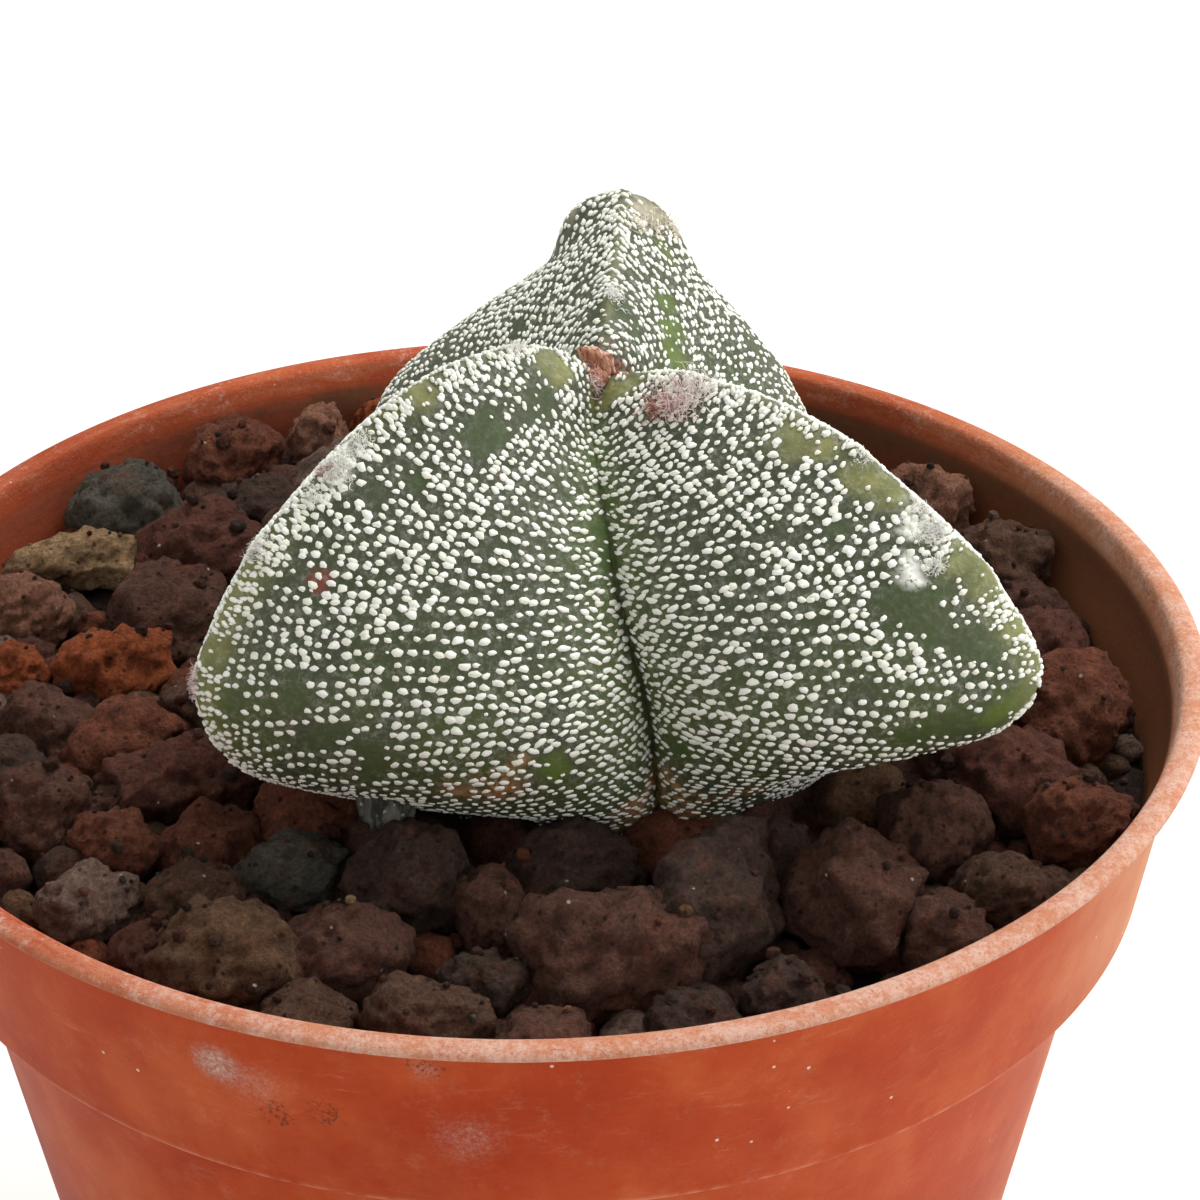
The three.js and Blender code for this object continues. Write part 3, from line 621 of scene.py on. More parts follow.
def plastic_finish(settings):
    """Worn moulded plastic: blotchy, painted paler towards the right as a painted highlight of the side light, darker
    and browner on the inner wall below the lip, and chalky on the lip, with scuffs, a few patches of chalk and crumbs
    of soil on the collar, and a worn line on the step under it."""
    f = Finish("nursery_pot_plastic", {"Specular IOR Level": 0.08})
    lip, inside = f.carried("lip"), f.carried("inside")
    x, y, z = f.axis("X"), f.axis("Y"), f.axis("Z")
    out = (x * x + y * y) ** 0.5
    rubbed = f.node("CombineXYZ", {}, {"X": x * 0.3, "Y": y * 0.3, "Z": 1.6 * out + 1.2 * z})
    streaks, fine = f.noise(1.2, 6, 0.8, 0.3, rubbed), f.noise(0.45, 4, 0.7)
    # Painted highlight: the plastic is painted paler towards the right, where the side light falls.
    side_highlight_reach = x + 10 * f.noise(7, 5, 0.65)
    colour = f.layered(
        settings.plastic,
        (settings.plastic_faded_and_lit, f.patches(9, 5, 0.6, 0.42, 0.66) * 0.7),
        (settings.plastic_deep, f.patches(16, 4, 0.6, 0.48, 0.7) * 0.7),
        # Painted highlight on the right side, in the faded colour and then in a paler one.
        (settings.plastic_faded_and_lit, f.fade(side_highlight_reach - 0.3 * y, 39, 57) * 0.8),
        (settings.painted_side_highlight, f.fade(side_highlight_reach, 33, 44) * 0.6),
        (settings.dust, f.patches(2.2, 8, 0.85, 0.52, 0.75) * 0.25),
    )
    scuffs = f.fade(streaks, 0.56, 0.7) * f.patches(5, 3, 0.5, 0.4, 0.6)
    chalk = f.spots(((-17.5, -36.7, 69.3), 2.4, 0.8), ((-15.2, -37.6, 68.4), 3.6, 0.4),
                    ((-3.6, -40.0, 66.3), 4.0, 0.4), ((-5.7, -40.6, 71.6), 2.0, 0.4))
    chalk = f.fade(chalk * f.patches(0.3, 6, 0.9, 0.2, 0.85), 0.05, 0.55)
    crumbs = f.spots(((-14.1, -37.6, 66.3), 1.9, 1.0), ((-11.3, -38.8, 67.2), 2.2, 0.8),
                     ((-5.6, -40.5, 71.9), 2.2, 0.8)) + 0.3 * f.patches(8, 2, 0.5, 0.55, 0.65)
    soil = f.fade(crumbs * f.patches(0.28, 3, 0.8, 0.5, 0.66), 0.2, 0.5)
    # The inner wall below the lip is painted darker and browner, in noisy patches.
    inner_wall_darker = f.fade(f.noise(5, 5, 0.7) + 0.006 * (x + y), 0.45, 0.7)
    inner_wall_darker = f.shaded(f.layered(settings.inner_wall_darker, (settings.deposit, inner_wall_darker)), 0.7 + 0.6 * f.noise(0.8, 5, 0.75))
    crust, grit, front = f.noise(0.45, 8, 0.85), f.noise(0.2, 4, 0.8), f.fade(x - y, -20, 40)
    dusty = f.fade(streaks + 0.3 * front, 0.42, 0.75)
    white = f.fade(crust + 0.15 * streaks + 0.15 * front + 0.7 * f.noise(3.5, 4, 0.7), 0.96, 1.22)
    colour = f.layered(
        f.shaded(colour, 0.86 + 0.28 * fine),
        (settings.dust, scuffs * 0.3),
        (settings.lime, chalk * 0.6),
        (settings.soil, soil * 0.75),
        (settings.lime, f.specks(1.0, 0.045, 0.14) * 0.7),
        (inner_wall_darker, inside * f.fade(POT_HEIGHT - z, 0.6, LIP_DEPTH)),
        (settings.dust, lip * (0.15 + 0.75 * dusty * (0.5 + 0.5 * front))),
        (settings.lime, lip * white * 0.5),
        (settings.plastic_deep, lip * f.fade(grit, 0.48, 0.3) * 0.6),
        (settings.dust, f.carried("worn") * f.patches(1.2, 3, 0.5, 0.3, 0.6) * 0.6),
    )
    roughness = 0.45 + 0.3 * lip + 0.2 * scuffs + 0.3 * chalk + 0.12 * fine
    relief = 0.35 * fine + 0.4 * streaks + 0.3 * chalk + 0.5 * soil + lip * (crust + grit)
    return f.done(colour, roughness, relief, 0.1)


def lava_finish(settings):
    """Porous lava: each stone's own tone, rusty and ashen patches, pores and pits painted dark as shade, and a little
    pale grit.
    """
    f = Finish("lava_gravel", {"Specular IOR Level": 0.2})
    grain, crumbs = f.noise(0.9, 8, 0.8), f.noise(0.25, 4, 0.8)
    holes, pinholes = f.fade(f.cells(1.0), 0.1, 0.5), f.fade(f.cells(0.42), 0.05, 0.5)
    rough = f.fade(grain, 0.3, 0.7) * 0.5 + holes * 0.3 + pinholes * 0.2
    # Painted shade: the pores are painted near black.
    pores = f.fade(f.cells(0.8), 0.3, 0.1) * f.patches(1.6, 2, 0.5, 0.45, 0.6)
    colour = f.layered(
        f.carried("tone", "Color"),
        (settings.rust, f.patches(2.6, 4, 0.65, 0.5, 0.75) * 0.45),
        (settings.ash, f.patches(1.9, 5, 0.7, 0.55, 0.78, 0.5) * 0.3),
    )
    # Painted shade: brightness follows the relief and is darker in its pits and low grain, over the lava's own
    # mottling.
    colour = f.layered(
        f.shaded(colour, 0.35 + 2.1 * rough * f.fade(crumbs, 0.1, 0.75)),
        (settings.pore_shade, pores * 0.75),
        (settings.pale_grit, f.specks(0.7, 0.03, 0.2)),
    )
    return f.done(colour, 0.9 + 0.1 * grain, rough + 0.25 * crumbs - 0.3 * pores, 0.7)


def flesh_finish(settings):
    """Waxy skin: grey-green, olive low on the flanks, greener beside the furrows and paler yellowish on the crests,
    partly their own tone and partly a painted highlight where they face the light, deep green where it is bare, corky
    at the base, and with a little down everywhere."""
    f = Finish("cactus_skin", {"Specular IOR Level": 0.4})
    bare, fine = f.carried("bare"), f.noise(0.35, 4, 0.7)
    down = f.patches(0.5, 5, 0.8, 0.45, 0.8) * (1 - 0.7 * bare) * 0.25
    colour = f.layered(
        settings.flesh,
        (settings.flesh_pale, f.patches(3.2, 4, 0.6, 0.35, 0.65)),
        (settings.olive, f.carried("low") * f.patches(5, 3, 0.5, 0.3, 0.6) * 0.7),
        (settings.furrow, f.carried("furrow") * f.patches(2, 3, 0.5, 0.2, 0.6)),
        (settings.bare, bare * f.patches(1.2, 5, 0.7, 0.25, 0.75)),
        (settings.fresh, f.carried("fresh") * 0.8),
        # Crest colour: the ridges' own paler skin, lightened further as a painted highlight where the crests face the
        # light from above.
        (settings.crest, f.carried("crest") * (0.55 + 0.45 * f.patches(2.2, 4, 0.5, 0.35, 0.6))),
        (settings.crease, f.carried("crease") * 0.6),
        (settings.cap, f.carried("cap") * f.patches(1.4, 5, 0.7, 0.25, 0.5)),
        (settings.cork, f.carried("cork") * f.patches(1.0, 5, 0.7, 0.38, 0.55)),
        (settings.scar, f.carried("scar")),
        (settings.hollow, f.carried("hollow") * 0.85),
        (settings.fleck, down),
        (settings.fleck, f.carried("bloom") * f.patches(0.4, 4, 0.8, 0.35, 0.5)),
    )
    relief = 0.5 * fine + 0.3 * f.cells(0.3) + 0.5 * down
    return f.done(f.shaded(colour, 0.85 + 0.3 * fine), 0.52 + 0.2 * fine, relief, 0.06)


def fleck_finish(settings):
    """Tufts of short white hairs: matte, cream to white, a little dirty in places."""
    f = Finish("white_flecks", {"Specular IOR Level": 0.15, "Sheen Weight": 0.2})
    colour = f.layered(
        settings.fleck,
        (settings.fleck_cream, f.fade(f.carried("tone"), 0.3, 1.0) * 0.6),
        (settings.fleck_dirty, f.patches(3.4, 3, 0.5, 0.55, 0.75) * 0.35),
    )
    hairs = f.noise(0.07, 3, 0.7)
    return f.done(f.shaded(colour, 0.85 + 0.25 * hairs), 0.9 + 0.1 * hairs, hairs, 0.05)


def wool_finish():
    """Curly hairs of the areoles, each with its own tone."""
    f = Finish("areole_wool", {"Specular IOR Level": 0.2, "Sheen Weight": 0.3})
    streak = f.noise(0.3)
    return f.done(f.shaded(f.carried("tone", "Color"), 0.8 + 0.4 * streak), 0.85 + 0.1 * streak, streak, 0.02)


def scrap_finish(settings):
    """Dry papery petals: orange-brown with darker veins and paler edges."""
    f = Finish("dry_petals", {"Specular IOR Level": 0.25})
    veins = f.fade(f.noise(0.5, 4, 0.6, 0.3, f.stretched(2.2, 2.2, 0.5)), 0.45, 0.65)
    colour = f.layered(
        settings.petal,
        (settings.petal_dark, veins),
        (settings.petal_edge, f.carried("edge") * f.patches(0.4, 3, 0.5, 0.4, 0.6)),
    )
    return f.done(colour, 0.7 + 0.2 * veins, veins, 0.06)


def nub_finish(settings):
    """Shrivelled dead skin: dark grey and furrowed, painted darker in the low parts of its folds as shade, with a few
    pale flecks left on it.
    """
    f = Finish("shrivelled_nub", {"Specular IOR Level": 0.25})
    folds = f.noise(0.7, 4, 0.6, 0.6, f.stretched(1, 1, 0.4))
    # Painted shade: the darker colour follows the low parts of the folds' relief.
    colour = f.layered(
        settings.nub_fold_shade,
        (settings.nub, f.fade(folds, 0.35, 0.65)),
        (settings.fleck_dirty, f.specks(0.5, 0.35, 0.3) * 0.7),
    )
    return f.done(colour, 0.75 + 0.2 * folds, folds, 0.15)


def floor_finish(settings):
    """Pale board: plain, with the faintest grain."""
    f = Finish("pale_floor", {"Specular IOR Level": 0.1})
    grain = f.noise(6, 3)
    return f.done(f.shaded(settings.floor, 0.98 + 0.04 * grain), 0.9 + 0.05 * grain, grain, 0.02)


# ---- Pot


def rounded(profile, radius, steps=5):
    """Replaces each corner of a profile by a curve that starts and ends a radius from it, or less on short legs."""
    profile = np.asarray(profile, float)
    points = [profile[0]]
    t = np.linspace(0, 1, steps)[:, None]
    for before, corner, after in zip(profile, profile[1:], profile[2:]):
        legs = [before - corner, after - corner]
        start, end = [corner + leg * min(0.45, radius / np.hypot(*leg)) for leg in legs]
        points.extend((1 - t) ** 2 * start + 2 * (1 - t) * t * corner + t**2 * end)
    return np.array(points + [profile[-1]])


def turned(profile, segments):
    """A profile of (radius, height) points carried round the Z axis: rows follow the profile, columns the turn."""
    azimuth = np.linspace(0, 360, segments + 1)
    points = from_axis(profile[:, :1], azimuth[None, :], profile[:, 1:])
    points[:, -1] = points[:, 0]
    return points.reshape(-1, 3), grid_triangles(len(profile), segments + 1, flip=True)


def pot_profile(wall):
    """Outside from the foot ring's inner edge up, over the lip and down the stepped inside to the floor's edge."""
    lip = POT_HEIGHT - LIP_DROP
    return [
        (DRAIN_FIELD[1], BASE_LIFT),
        (FOOT_RADIUS - FOOT_RING_WIDTH - 0.6, BASE_LIFT),
        (FOOT_RADIUS - FOOT_RING_WIDTH, 0),
        (FOOT_RADIUS, 0),
        (SHOULDER_RADIUS, SHOULDER_HEIGHT),
        (COLLAR_FOOT_RADIUS - 0.3, SHOULDER_HEIGHT),
        (COLLAR_FOOT_RADIUS, SHOULDER_HEIGHT + 0.3),
        (COLLAR_TOP_RADIUS, lip - 0.2),
        (RIM_RADIUS - 0.8, lip),
        (RIM_RADIUS - 0.1, lip + 0.25),
        (RIM_RADIUS, lip + 0.5),
        (RIM_RADIUS - 0.3, POT_HEIGHT - 0.1),
        (RIM_RADIUS - 0.9, POT_HEIGHT),
        (RIM_RADIUS - 1.5, POT_HEIGHT - 0.1),
        (RIM_RADIUS - 1.76, POT_HEIGHT - 0.4),
        (COLLAR_TOP_RADIUS - wall, POT_HEIGHT - LIP_DEPTH),
        (COLLAR_FOOT_RADIUS - wall, SHOULDER_HEIGHT + wall),
        (SHOULDER_RADIUS - wall, SHOULDER_HEIGHT + wall * SHOULDER_SHARE),
        (FOOT_RADIUS - wall + 0.5, BASE_LIFT + wall * FLOOR_EDGE_SHARE),
        (FOOT_RADIUS - wall - 0.9, BASE_LIFT + wall * FLOOR_SHARE),
        (DRAIN_FIELD[1], BASE_LIFT + wall * FLOOR_SHARE),
    ]


def sector_outline(segments):
    """Outline of the piece of the floor round one drainage hole: out arc, one straight side, in arc, other side."""
    inner, outer = DRAIN_FIELD
    half = 180 / DRAIN_HOLES
    sweep = np.linspace(-half, half, segments + 1)
    reach = np.linspace(outer, inner, SECTOR_STEPS + 1)
    sides = [from_axis(outer, sweep, 0), from_axis(reach, half, 0)]
    sides += [from_axis(inner, sweep[::-1], 0), from_axis(reach[::-1], -half, 0)]
    return np.concatenate([side[:-1] for side in sides] + [sides[0][:1]])


def round_holes(points, triangles):
    """A surface of one drainage hole, repeated round the axis for each of them."""
    parts = []
    for hole in range(DRAIN_HOLES):
        azimuth = (hole + 0.5) * 360 / DRAIN_HOLES * DEGREE
        turn = np.array([[np.cos(azimuth), np.sin(azimuth), 0], [-np.sin(azimuth), np.cos(azimuth), 0], UP])
        parts.append(((points @ turn).reshape(-1, 3), triangles))
    return parts


def drain_circle(outline):
    """The drainage hole's edge: a point of the circle for each one of its sector's outline, straight in from it."""
    middle = np.array([DRAIN_CIRCLE, 0, 0])
    bearing = np.arctan2(outline[:, 1] - middle[1], outline[:, 0] - middle[0]) / DEGREE
    return middle + from_axis(DRAIN_RADIUS, bearing, 0)


def drained_floor(circle, outline, height, upward, segments):
    """The floor with its holes: for each hole, a grid that goes from the hole's circle out to its sector's outline.
    A point is the mix of circle and outline, by the share of the way. A fan closes the middle."""
    share = np.linspace(0, 1, SECTOR_RINGS)[:, None, None]
    sector = circle * (1 - share) + outline * share + UP * height
    around = from_axis(DRAIN_FIELD[0], np.linspace(0, 360, DRAIN_HOLES * segments + 1), height)
    corners = np.arange(1, len(around))
    faces = np.stack([np.zeros_like(corners), corners, corners + 1], -1)
    fan = np.concatenate([[[0, 0, height]], around]), faces if upward else faces[:, ::-1]
    return [*round_holes(sector, grid_triangles(SECTOR_RINGS, len(outline), flip=not upward)), fan]


def build_pot(settings):
    """The pot: a rounded profile carried round the axis, and a floor with drainage holes."""
    wall = settings.wall / MM
    sectors = settings.segments // DRAIN_HOLES
    outline = sector_outline(sectors)
    circle = drain_circle(outline)
    floor = BASE_LIFT + wall * FLOOR_SHARE
    edges = np.stack([circle + UP * BASE_LIFT, circle + UP * floor])
    points, triangles = welded(*joined([
        turned(rounded(pot_profile(wall), POT_ROUNDING), sectors * DRAIN_HOLES),
        *drained_floor(circle, outline, BASE_LIFT, False, sectors),
        *drained_floor(circle, outline, floor, True, sectors),
        *round_holes(edges, grid_triangles(2, len(circle))),
    ]))
    radius, height = np.hypot(points[:, 0], points[:, 1]), points[:, 2]
    middle = np.interp(height, [BASE_LIFT, SHOULDER_HEIGHT, POT_HEIGHT - LIP_DEPTH],
                       [FOOT_RADIUS, SHOULDER_RADIUS, COLLAR_TOP_RADIUS - 0.2]) - wall / 2
    inside = (radius < middle) & (height > BASE_LIFT + wall)
    lip = ease(height, POT_HEIGHT - LIP_DROP - 0.5, POT_HEIGHT - LIP_DROP)
    worn = bell(height - SHOULDER_HEIGHT - 0.15, 0.3) * (radius > COLLAR_FOOT_RADIUS - 0.5)
    new_piece("nursery_pot", points, triangles, plastic_finish(settings), "pot", ["pot"], lip=lip, inside=inside,
              worn=worn)


# ---- Gravel


def gravel_rise(x, y):
    """Where gravel lies higher or lower than its level: heaped at the rear left, slack at the front right."""
    return np.clip((y - x) / HEAP_REACH - HEAP_START, *HEAP_LIMITS)


def inside_radius(height):
    """Radius of the gravel's free room in the pot's collar, at a height."""
    slope = (COLLAR_TOP_RADIUS - COLLAR_FOOT_RADIUS) / (COLLAR_HEIGHT - LIP_DROP)
    widest = COLLAR_TOP_RADIUS - WALL - GAP
    return np.minimum(COLLAR_FOOT_RADIUS - WALL - GAP + slope * (height - SHOULDER_HEIGHT), widest)


def laid_places():
    """The laid stones as rows of x, y, height over the level, length, width, height and turn, kept inside the pot."""
    rows = np.array([row[:7] for row in LAID_STONES], float)
    reach = (ROOM_RADIUS - rows[:, 3:5].min(1) / 2) / np.hypot(rows[:, 0], rows[:, 1])
    rows[:, :2] *= np.minimum(1, reach)[:, None]
    return rows


def fill_places(places, seed, tries, smallest, largest, spacing, clear, sink):
    """Places stones by a seeded rule where they don't crowd the ones before them, clear of the plant's neck."""
    rows = [tuple(row) for row in places]
    random = seeded_random(seed)
    for _ in range(tries):
        size = smallest + (largest - smallest) * random() ** 2
        out = (ROOM_RADIUS - size / 2) * random() ** 0.5
        x, y, _ = from_axis(out, 360 * random(), 0)
        stretch = 0.8 + 0.4 * random()
        turn = 180 * random()
        laid = np.array(rows)
        apart = np.hypot(laid[:, 0] - x, laid[:, 1] - y)
        crowded = (apart < spacing * (size + (laid[:, 3] + laid[:, 4]) / 2)).any()
        if not crowded and np.hypot(x - PLANT_PLACE[0], y - PLANT_PLACE[1]) >= clear:
            z = gravel_rise(x, y) - sink
            rows.append((x, y, z, size * stretch, size / stretch, size * FLATNESS, turn))
    return np.array(rows[len(places):])


def ball(cells):
    """Directions and triangles of a ball: the six sides of a cube as grids, pushed out to length one."""
    a = np.tan(np.linspace(-45, 45, cells + 1) * DEGREE)
    s, t = (grid.ravel() for grid in np.meshgrid(a, a, indexing="ij"))
    one = np.ones_like(s)
    sides = [(one, s, t), (-one, t, s), (t, one, s), (s, -one, t), (s, t, one), (t, s, -one)]
    faces = grid_triangles(cells + 1, cells + 1)
    return welded(*joined([(unit(np.stack(side, -1)), faces) for side in sides]))


def stone_facets(number):
    """A stone's facets as rows of direction and depth, spread round a ball by the golden turn and then disturbed."""
    random = seeded_random(STONE_SEED + number)
    facets = []
    for i in range(STONE_FACETS):
        rise = 1 - 2 * (i + 0.5 + 0.5 * (random() - 0.5)) / STONE_FACETS
        around = GOLDEN_TURN * i + 1.2 * (random() - 0.5)
        flat = max(0, 1 - rise * rise) ** 0.5
        facets.append((flat * np.cos(around), flat * np.sin(around), rise, FACET_NEAREST + FACET_SPREAD * random()))
    return facets


def stones(places, first_number, cells, roughness):
    """Broken pebbles: a ball cut by facets of random tilt and depth, with worn edges, lumps and pits. A point's
    distance is the power mean of the facets' distances, times a size, plus noise of three sizes, less the pits."""
    directions, triangles = ball(cells)
    numbers = np.arange(first_number, first_number + len(places))
    facets = np.array([stone_facets(int(number)) for number in numbers])
    lean = np.einsum("kd,nfd->nkf", directions, facets[..., :3]) / facets[:, None, :, 3]
    radius = np.minimum(LONGEST_CORNER, (np.maximum(0, lean) ** FINE_ROUNDING).sum(-1) ** (-1 / FINE_ROUNDING))
    points = directions * radius[..., None] * (places[:, None, 3:6] / 2)
    size = places[:, 3:6].mean(1)[:, None]
    grain = (points + 37.0 * numbers[:, None, None]) * 6 / size[..., None]
    lumps = unevenness(grain, STONE_LUMPS) - PIT_DEPTH * ease(cloud(grain, PIT_SIZE, PIT_SEED), 0.1, 0.5)
    points = points + directions * (roughness * size * lumps)[..., None]
    turn = places[:, 6:] * DEGREE
    x = points[..., 0] * np.cos(turn) - points[..., 1] * np.sin(turn)
    y = points[..., 0] * np.sin(turn) + points[..., 1] * np.cos(turn)
    points = np.stack([x, y, points[..., 2]], -1) + places[:, None, :3] + UP * GRAVEL_LEVEL
    out = np.hypot(points[..., 0], points[..., 1])
    points[..., :2] *= np.minimum(1, inside_radius(points[..., 2]) / np.maximum(out, 1e-6))[..., None]
    return repeated(points, triangles)


def stone_tones(count, seed):
    """A seeded tone for each stone, with dull browns more often than the bright ones."""
    random = np.random.default_rng(seed)
    tones, often = zip(*STONE_TONES.values())
    picked = random.choice(len(tones), count, p=np.array(often) / sum(often))
    return np.array([linear(*tones[i]) for i in picked]) * random.uniform(0.8, 1.2, (count, 1))


def build_bed(material):
    """The bed under the stones: a closed turned body that fills the pot, whose upper side is rough soil. Its height
    is the level less the bed's drop, plus noise of two sizes."""
    top = GRAVEL_LEVEL - BED_DROP
    inset = WALL + GAP
    side = [
        (0, BASE_LIFT + WALL * FLOOR_SHARE + GAP),
        (FOOT_RADIUS - inset - 1.2, BASE_LIFT + WALL * FLOOR_SHARE + GAP),
        (FOOT_RADIUS - inset + 0.4, BASE_LIFT + WALL * FLOOR_EDGE_SHARE + GAP),
        (SHOULDER_RADIUS - inset, SHOULDER_HEIGHT + WALL * SHOULDER_SHARE + GAP),
        (COLLAR_FOOT_RADIUS - inset - 0.05, SHOULDER_HEIGHT + WALL + GAP),
    ]
    upper = np.stack([np.linspace(inside_radius(top), 0, BED_RINGS), np.full(BED_RINGS, top)], -1)
    points, triangles = welded(*turned(np.concatenate([side, upper]), BED_SEGMENTS))
    soil = ease(points[:, 2], top - 1, top - 0.2)
    rise = gravel_rise(points[:, 0], points[:, 1]) * 0.6
    points[:, 2] += soil * (unevenness(points, SOIL_LUMPS) + rise)
    tone = np.tile(linear(*SOIL_TONE), (len(points), 1))
    new_piece("gravel_bed", points, triangles, material, "gravel", ["gravel"], tone=tone)


def build_stones(settings, material):
    """The laid stones, the stones that fill in between them, and the small ones in the gaps."""
    laid = laid_places()
    fill = fill_places(laid, **FILL)
    small = fill_places(np.concatenate([laid, fill]), tries=settings.small_tries, **SMALL)
    laid_tones = np.array([linear(*STONE_TONES[row[7]][0]) for row in LAID_STONES])
    lots = [
        ("laid_stones", laid, 0, LAID_CELLS, laid_tones),
        ("fill_stones", fill, len(laid), FILL_CELLS, stone_tones(len(fill), FILL_TONES)),
        ("small_stones", small, SMALL_FIRST, SMALL_CELLS, stone_tones(len(small), SMALL_TONES)),
    ]
    for name, places, first, cells, tones in lots:
        points, triangles = stones(places, first, cells, settings.stone_roughness)
        new_piece(name, points, triangles, material, "gravel", tone=spread(tones, points))


def ground_under_crumbs():
    """The surface of the bed and of all the stones, in metres, as a tree that rays can be cast on."""
    parts = []
    for name in ("gravel_bed", "laid_stones", "fill_stones", "small_stones"):
        mesh = bpy.data.objects[name].data
        points, corners = np.empty(len(mesh.vertices) * 3), np.empty(len(mesh.polygons) * 3, np.int32)
        mesh.vertices.foreach_get("co", points)
        mesh.polygons.foreach_get("vertices", corners)
        parts.append((points.reshape(-1, 3), corners.reshape(-1, 3)))
    return BVHTree.FromPolygons(*(array.tolist() for array in joined(parts)))


def build_crumbs(settings, material):
    """Crumbs of lava: small stones dropped straight down on what lies there."""
    random = np.random.default_rng(CRUMB_SEED)
    ground = ground_under_crumbs()
    places = []
    for out, azimuth, size in zip(*random.uniform(0, 1, (3, settings.crumbs))):
        size = CRUMB_SMALLEST + CRUMB_SPREAD * size**4
        x, y, _ = from_axis(CRUMB_REACH * out**0.5, 360 * azimuth, 0)
        hit, normal, _, _ = ground.ray_cast(Vector((x * MM, y * MM, DROP_HEIGHT * MM)), Vector((0, 0, -1)))
        if hit is not None and normal.z >= CRUMB_LEVEL:
            shape = size * random.uniform(0.8, 1.2, 3)
            places.append((x, y, hit.z / MM - GRAVEL_LEVEL + 0.25 * size, *shape, 360 * azimuth))
    points, triangles = stones(np.array(places), CRUMB_FIRST, CRUMB_CELLS, CRUMB_ROUGHNESS)
    tones = stone_tones(len(places), CRUMB_TONES) * random.uniform(0.4, 0.9, (len(places), 1))
    crumbs = new_piece("gravel_crumbs", points, triangles, material, "gravel", tone=spread(tones, points))
    crumbs.data.shade_flat()


# ---- Plant


def flank(rib_number, side, u, v):
    """Point of a rib's flank. u goes from the furrow, 0, to the ridge, 1, and v from the crown, 0, to the root, 1.
    Across, it is a cubic curve that leaves the furrow steeply and rolls level over the ridge."""
    rib = RIBS[rib_number]
    furrow = FURROWS[rib_number if side > 0 else (rib_number + 2) % 3]

    def form(knots):
        return along(knots, v / NECK_SHARE)[..., None]

    outward = from_axis(1, rib["azimuth"], 0)
    across = from_axis(side, rib["azimuth"] + 90, 0)
    ridge_out, ridge_height = np.moveaxis(along(rib["ridge"], v), -1, 0)
    ridge = from_axis(ridge_out, rib["azimuth"], ridge_height)
    furrow_out, furrow_height = np.moveaxis(along(FURROW, v), -1, 0)
    valley = from_axis(furrow_out, furrow["azimuth"] + along(furrow["turn"], v), furrow_height)
    span = length_of(ridge - valley)
    leave, lift = form(FLANK_LEAVE) * DEGREE, form(FLANK_LIFT) * DEGREE
    course = (outward * np.cos(leave) + across * np.sin(leave)) * np.cos(lift) + UP * np.sin(lift)
    roll = np.minimum(form(rib["crest"]), ROLL_SHARE * span)
    fall = form(rib["drop"]) * np.minimum(1, span / FULL_FALL_SPAN)
    bulge = valley + course * (span * (form(FLANK_REACH) * form(rib["plump"][side])))
    shoulder = ridge + across * roll - UP * fall
    u = np.asarray(u, float)[..., None]
    return (1 - u) ** 3 * valley + 3 * (1 - u) ** 2 * u * bulge + 3 * (1 - u) * u**2 * shoulder + u**3 * ridge


def rib_vector(rib, out, left, up):
    """A vector given as its parts out along a rib, to the left of it, and up."""
    return from_axis(out, rib["azimuth"], up) + from_axis(left, rib["azimuth"] + 90, 0)


def swollen(points):
    """Adds the boss and the areole cushions: each pushes the skin out by a bell-shaped height round its middle."""
    raised = points
    for middle, radius, push in BOSS_SWELLINGS:
        away = length_of(points - rib_vector(RIBS[BOSS_RIB], *middle)) / radius
        raised = raised + rib_vector(RIBS[BOSS_RIB], *push) * np.exp(-(away**4))
    for rib in RIBS:
        for v, height in rib["areoles"]:
            out, level = along(rib["ridge"], v)
            middle = from_axis(out, rib["azimuth"], level)
            raised = raised + unit(middle) * height * bell(length_of(points - middle), AREOLE_SPREAD)
    return raised


def skin(rib_number, side, u, v):
    """The flank with its swellings, and a slight unevenness of two sizes along the way out from the plant's middle."""
    points = swollen(flank(rib_number, side, u, v))
    return points + unit(points - SKIN_MIDDLE) * unevenness(points, SKIN_LUMPS)[..., None]


def skin_frame(rib_number, side, u, v, step=2e-3):
    """Point, outward normal, and the steps of the surface along u and along v, by central differences."""
    along_u = (skin(rib_number, side, u + step, v) - skin(rib_number, side, u - step, v)) / (2 * step)
    along_v = (skin(rib_number, side, u, v + step) - skin(rib_number, side, u, v - step)) / (2 * step)
    normal = unit(np.cross(along_u, along_v) * side)
    return skin(rib_number, side, u, v), normal, along_u, along_v


def spotted(points, spots, ragged, edge):
    """1 inside any of the spots and 0 outside, with an uneven edge."""
    spots = np.array(spots)
    away = np.linalg.norm(points[..., None, :] - spots[:, :3], axis=-1) / spots[:, 3]
    return ease(away.min(-1) + ragged * unevenness(points, SPOT_EDGES), 1 + edge / 2, 1 - edge)


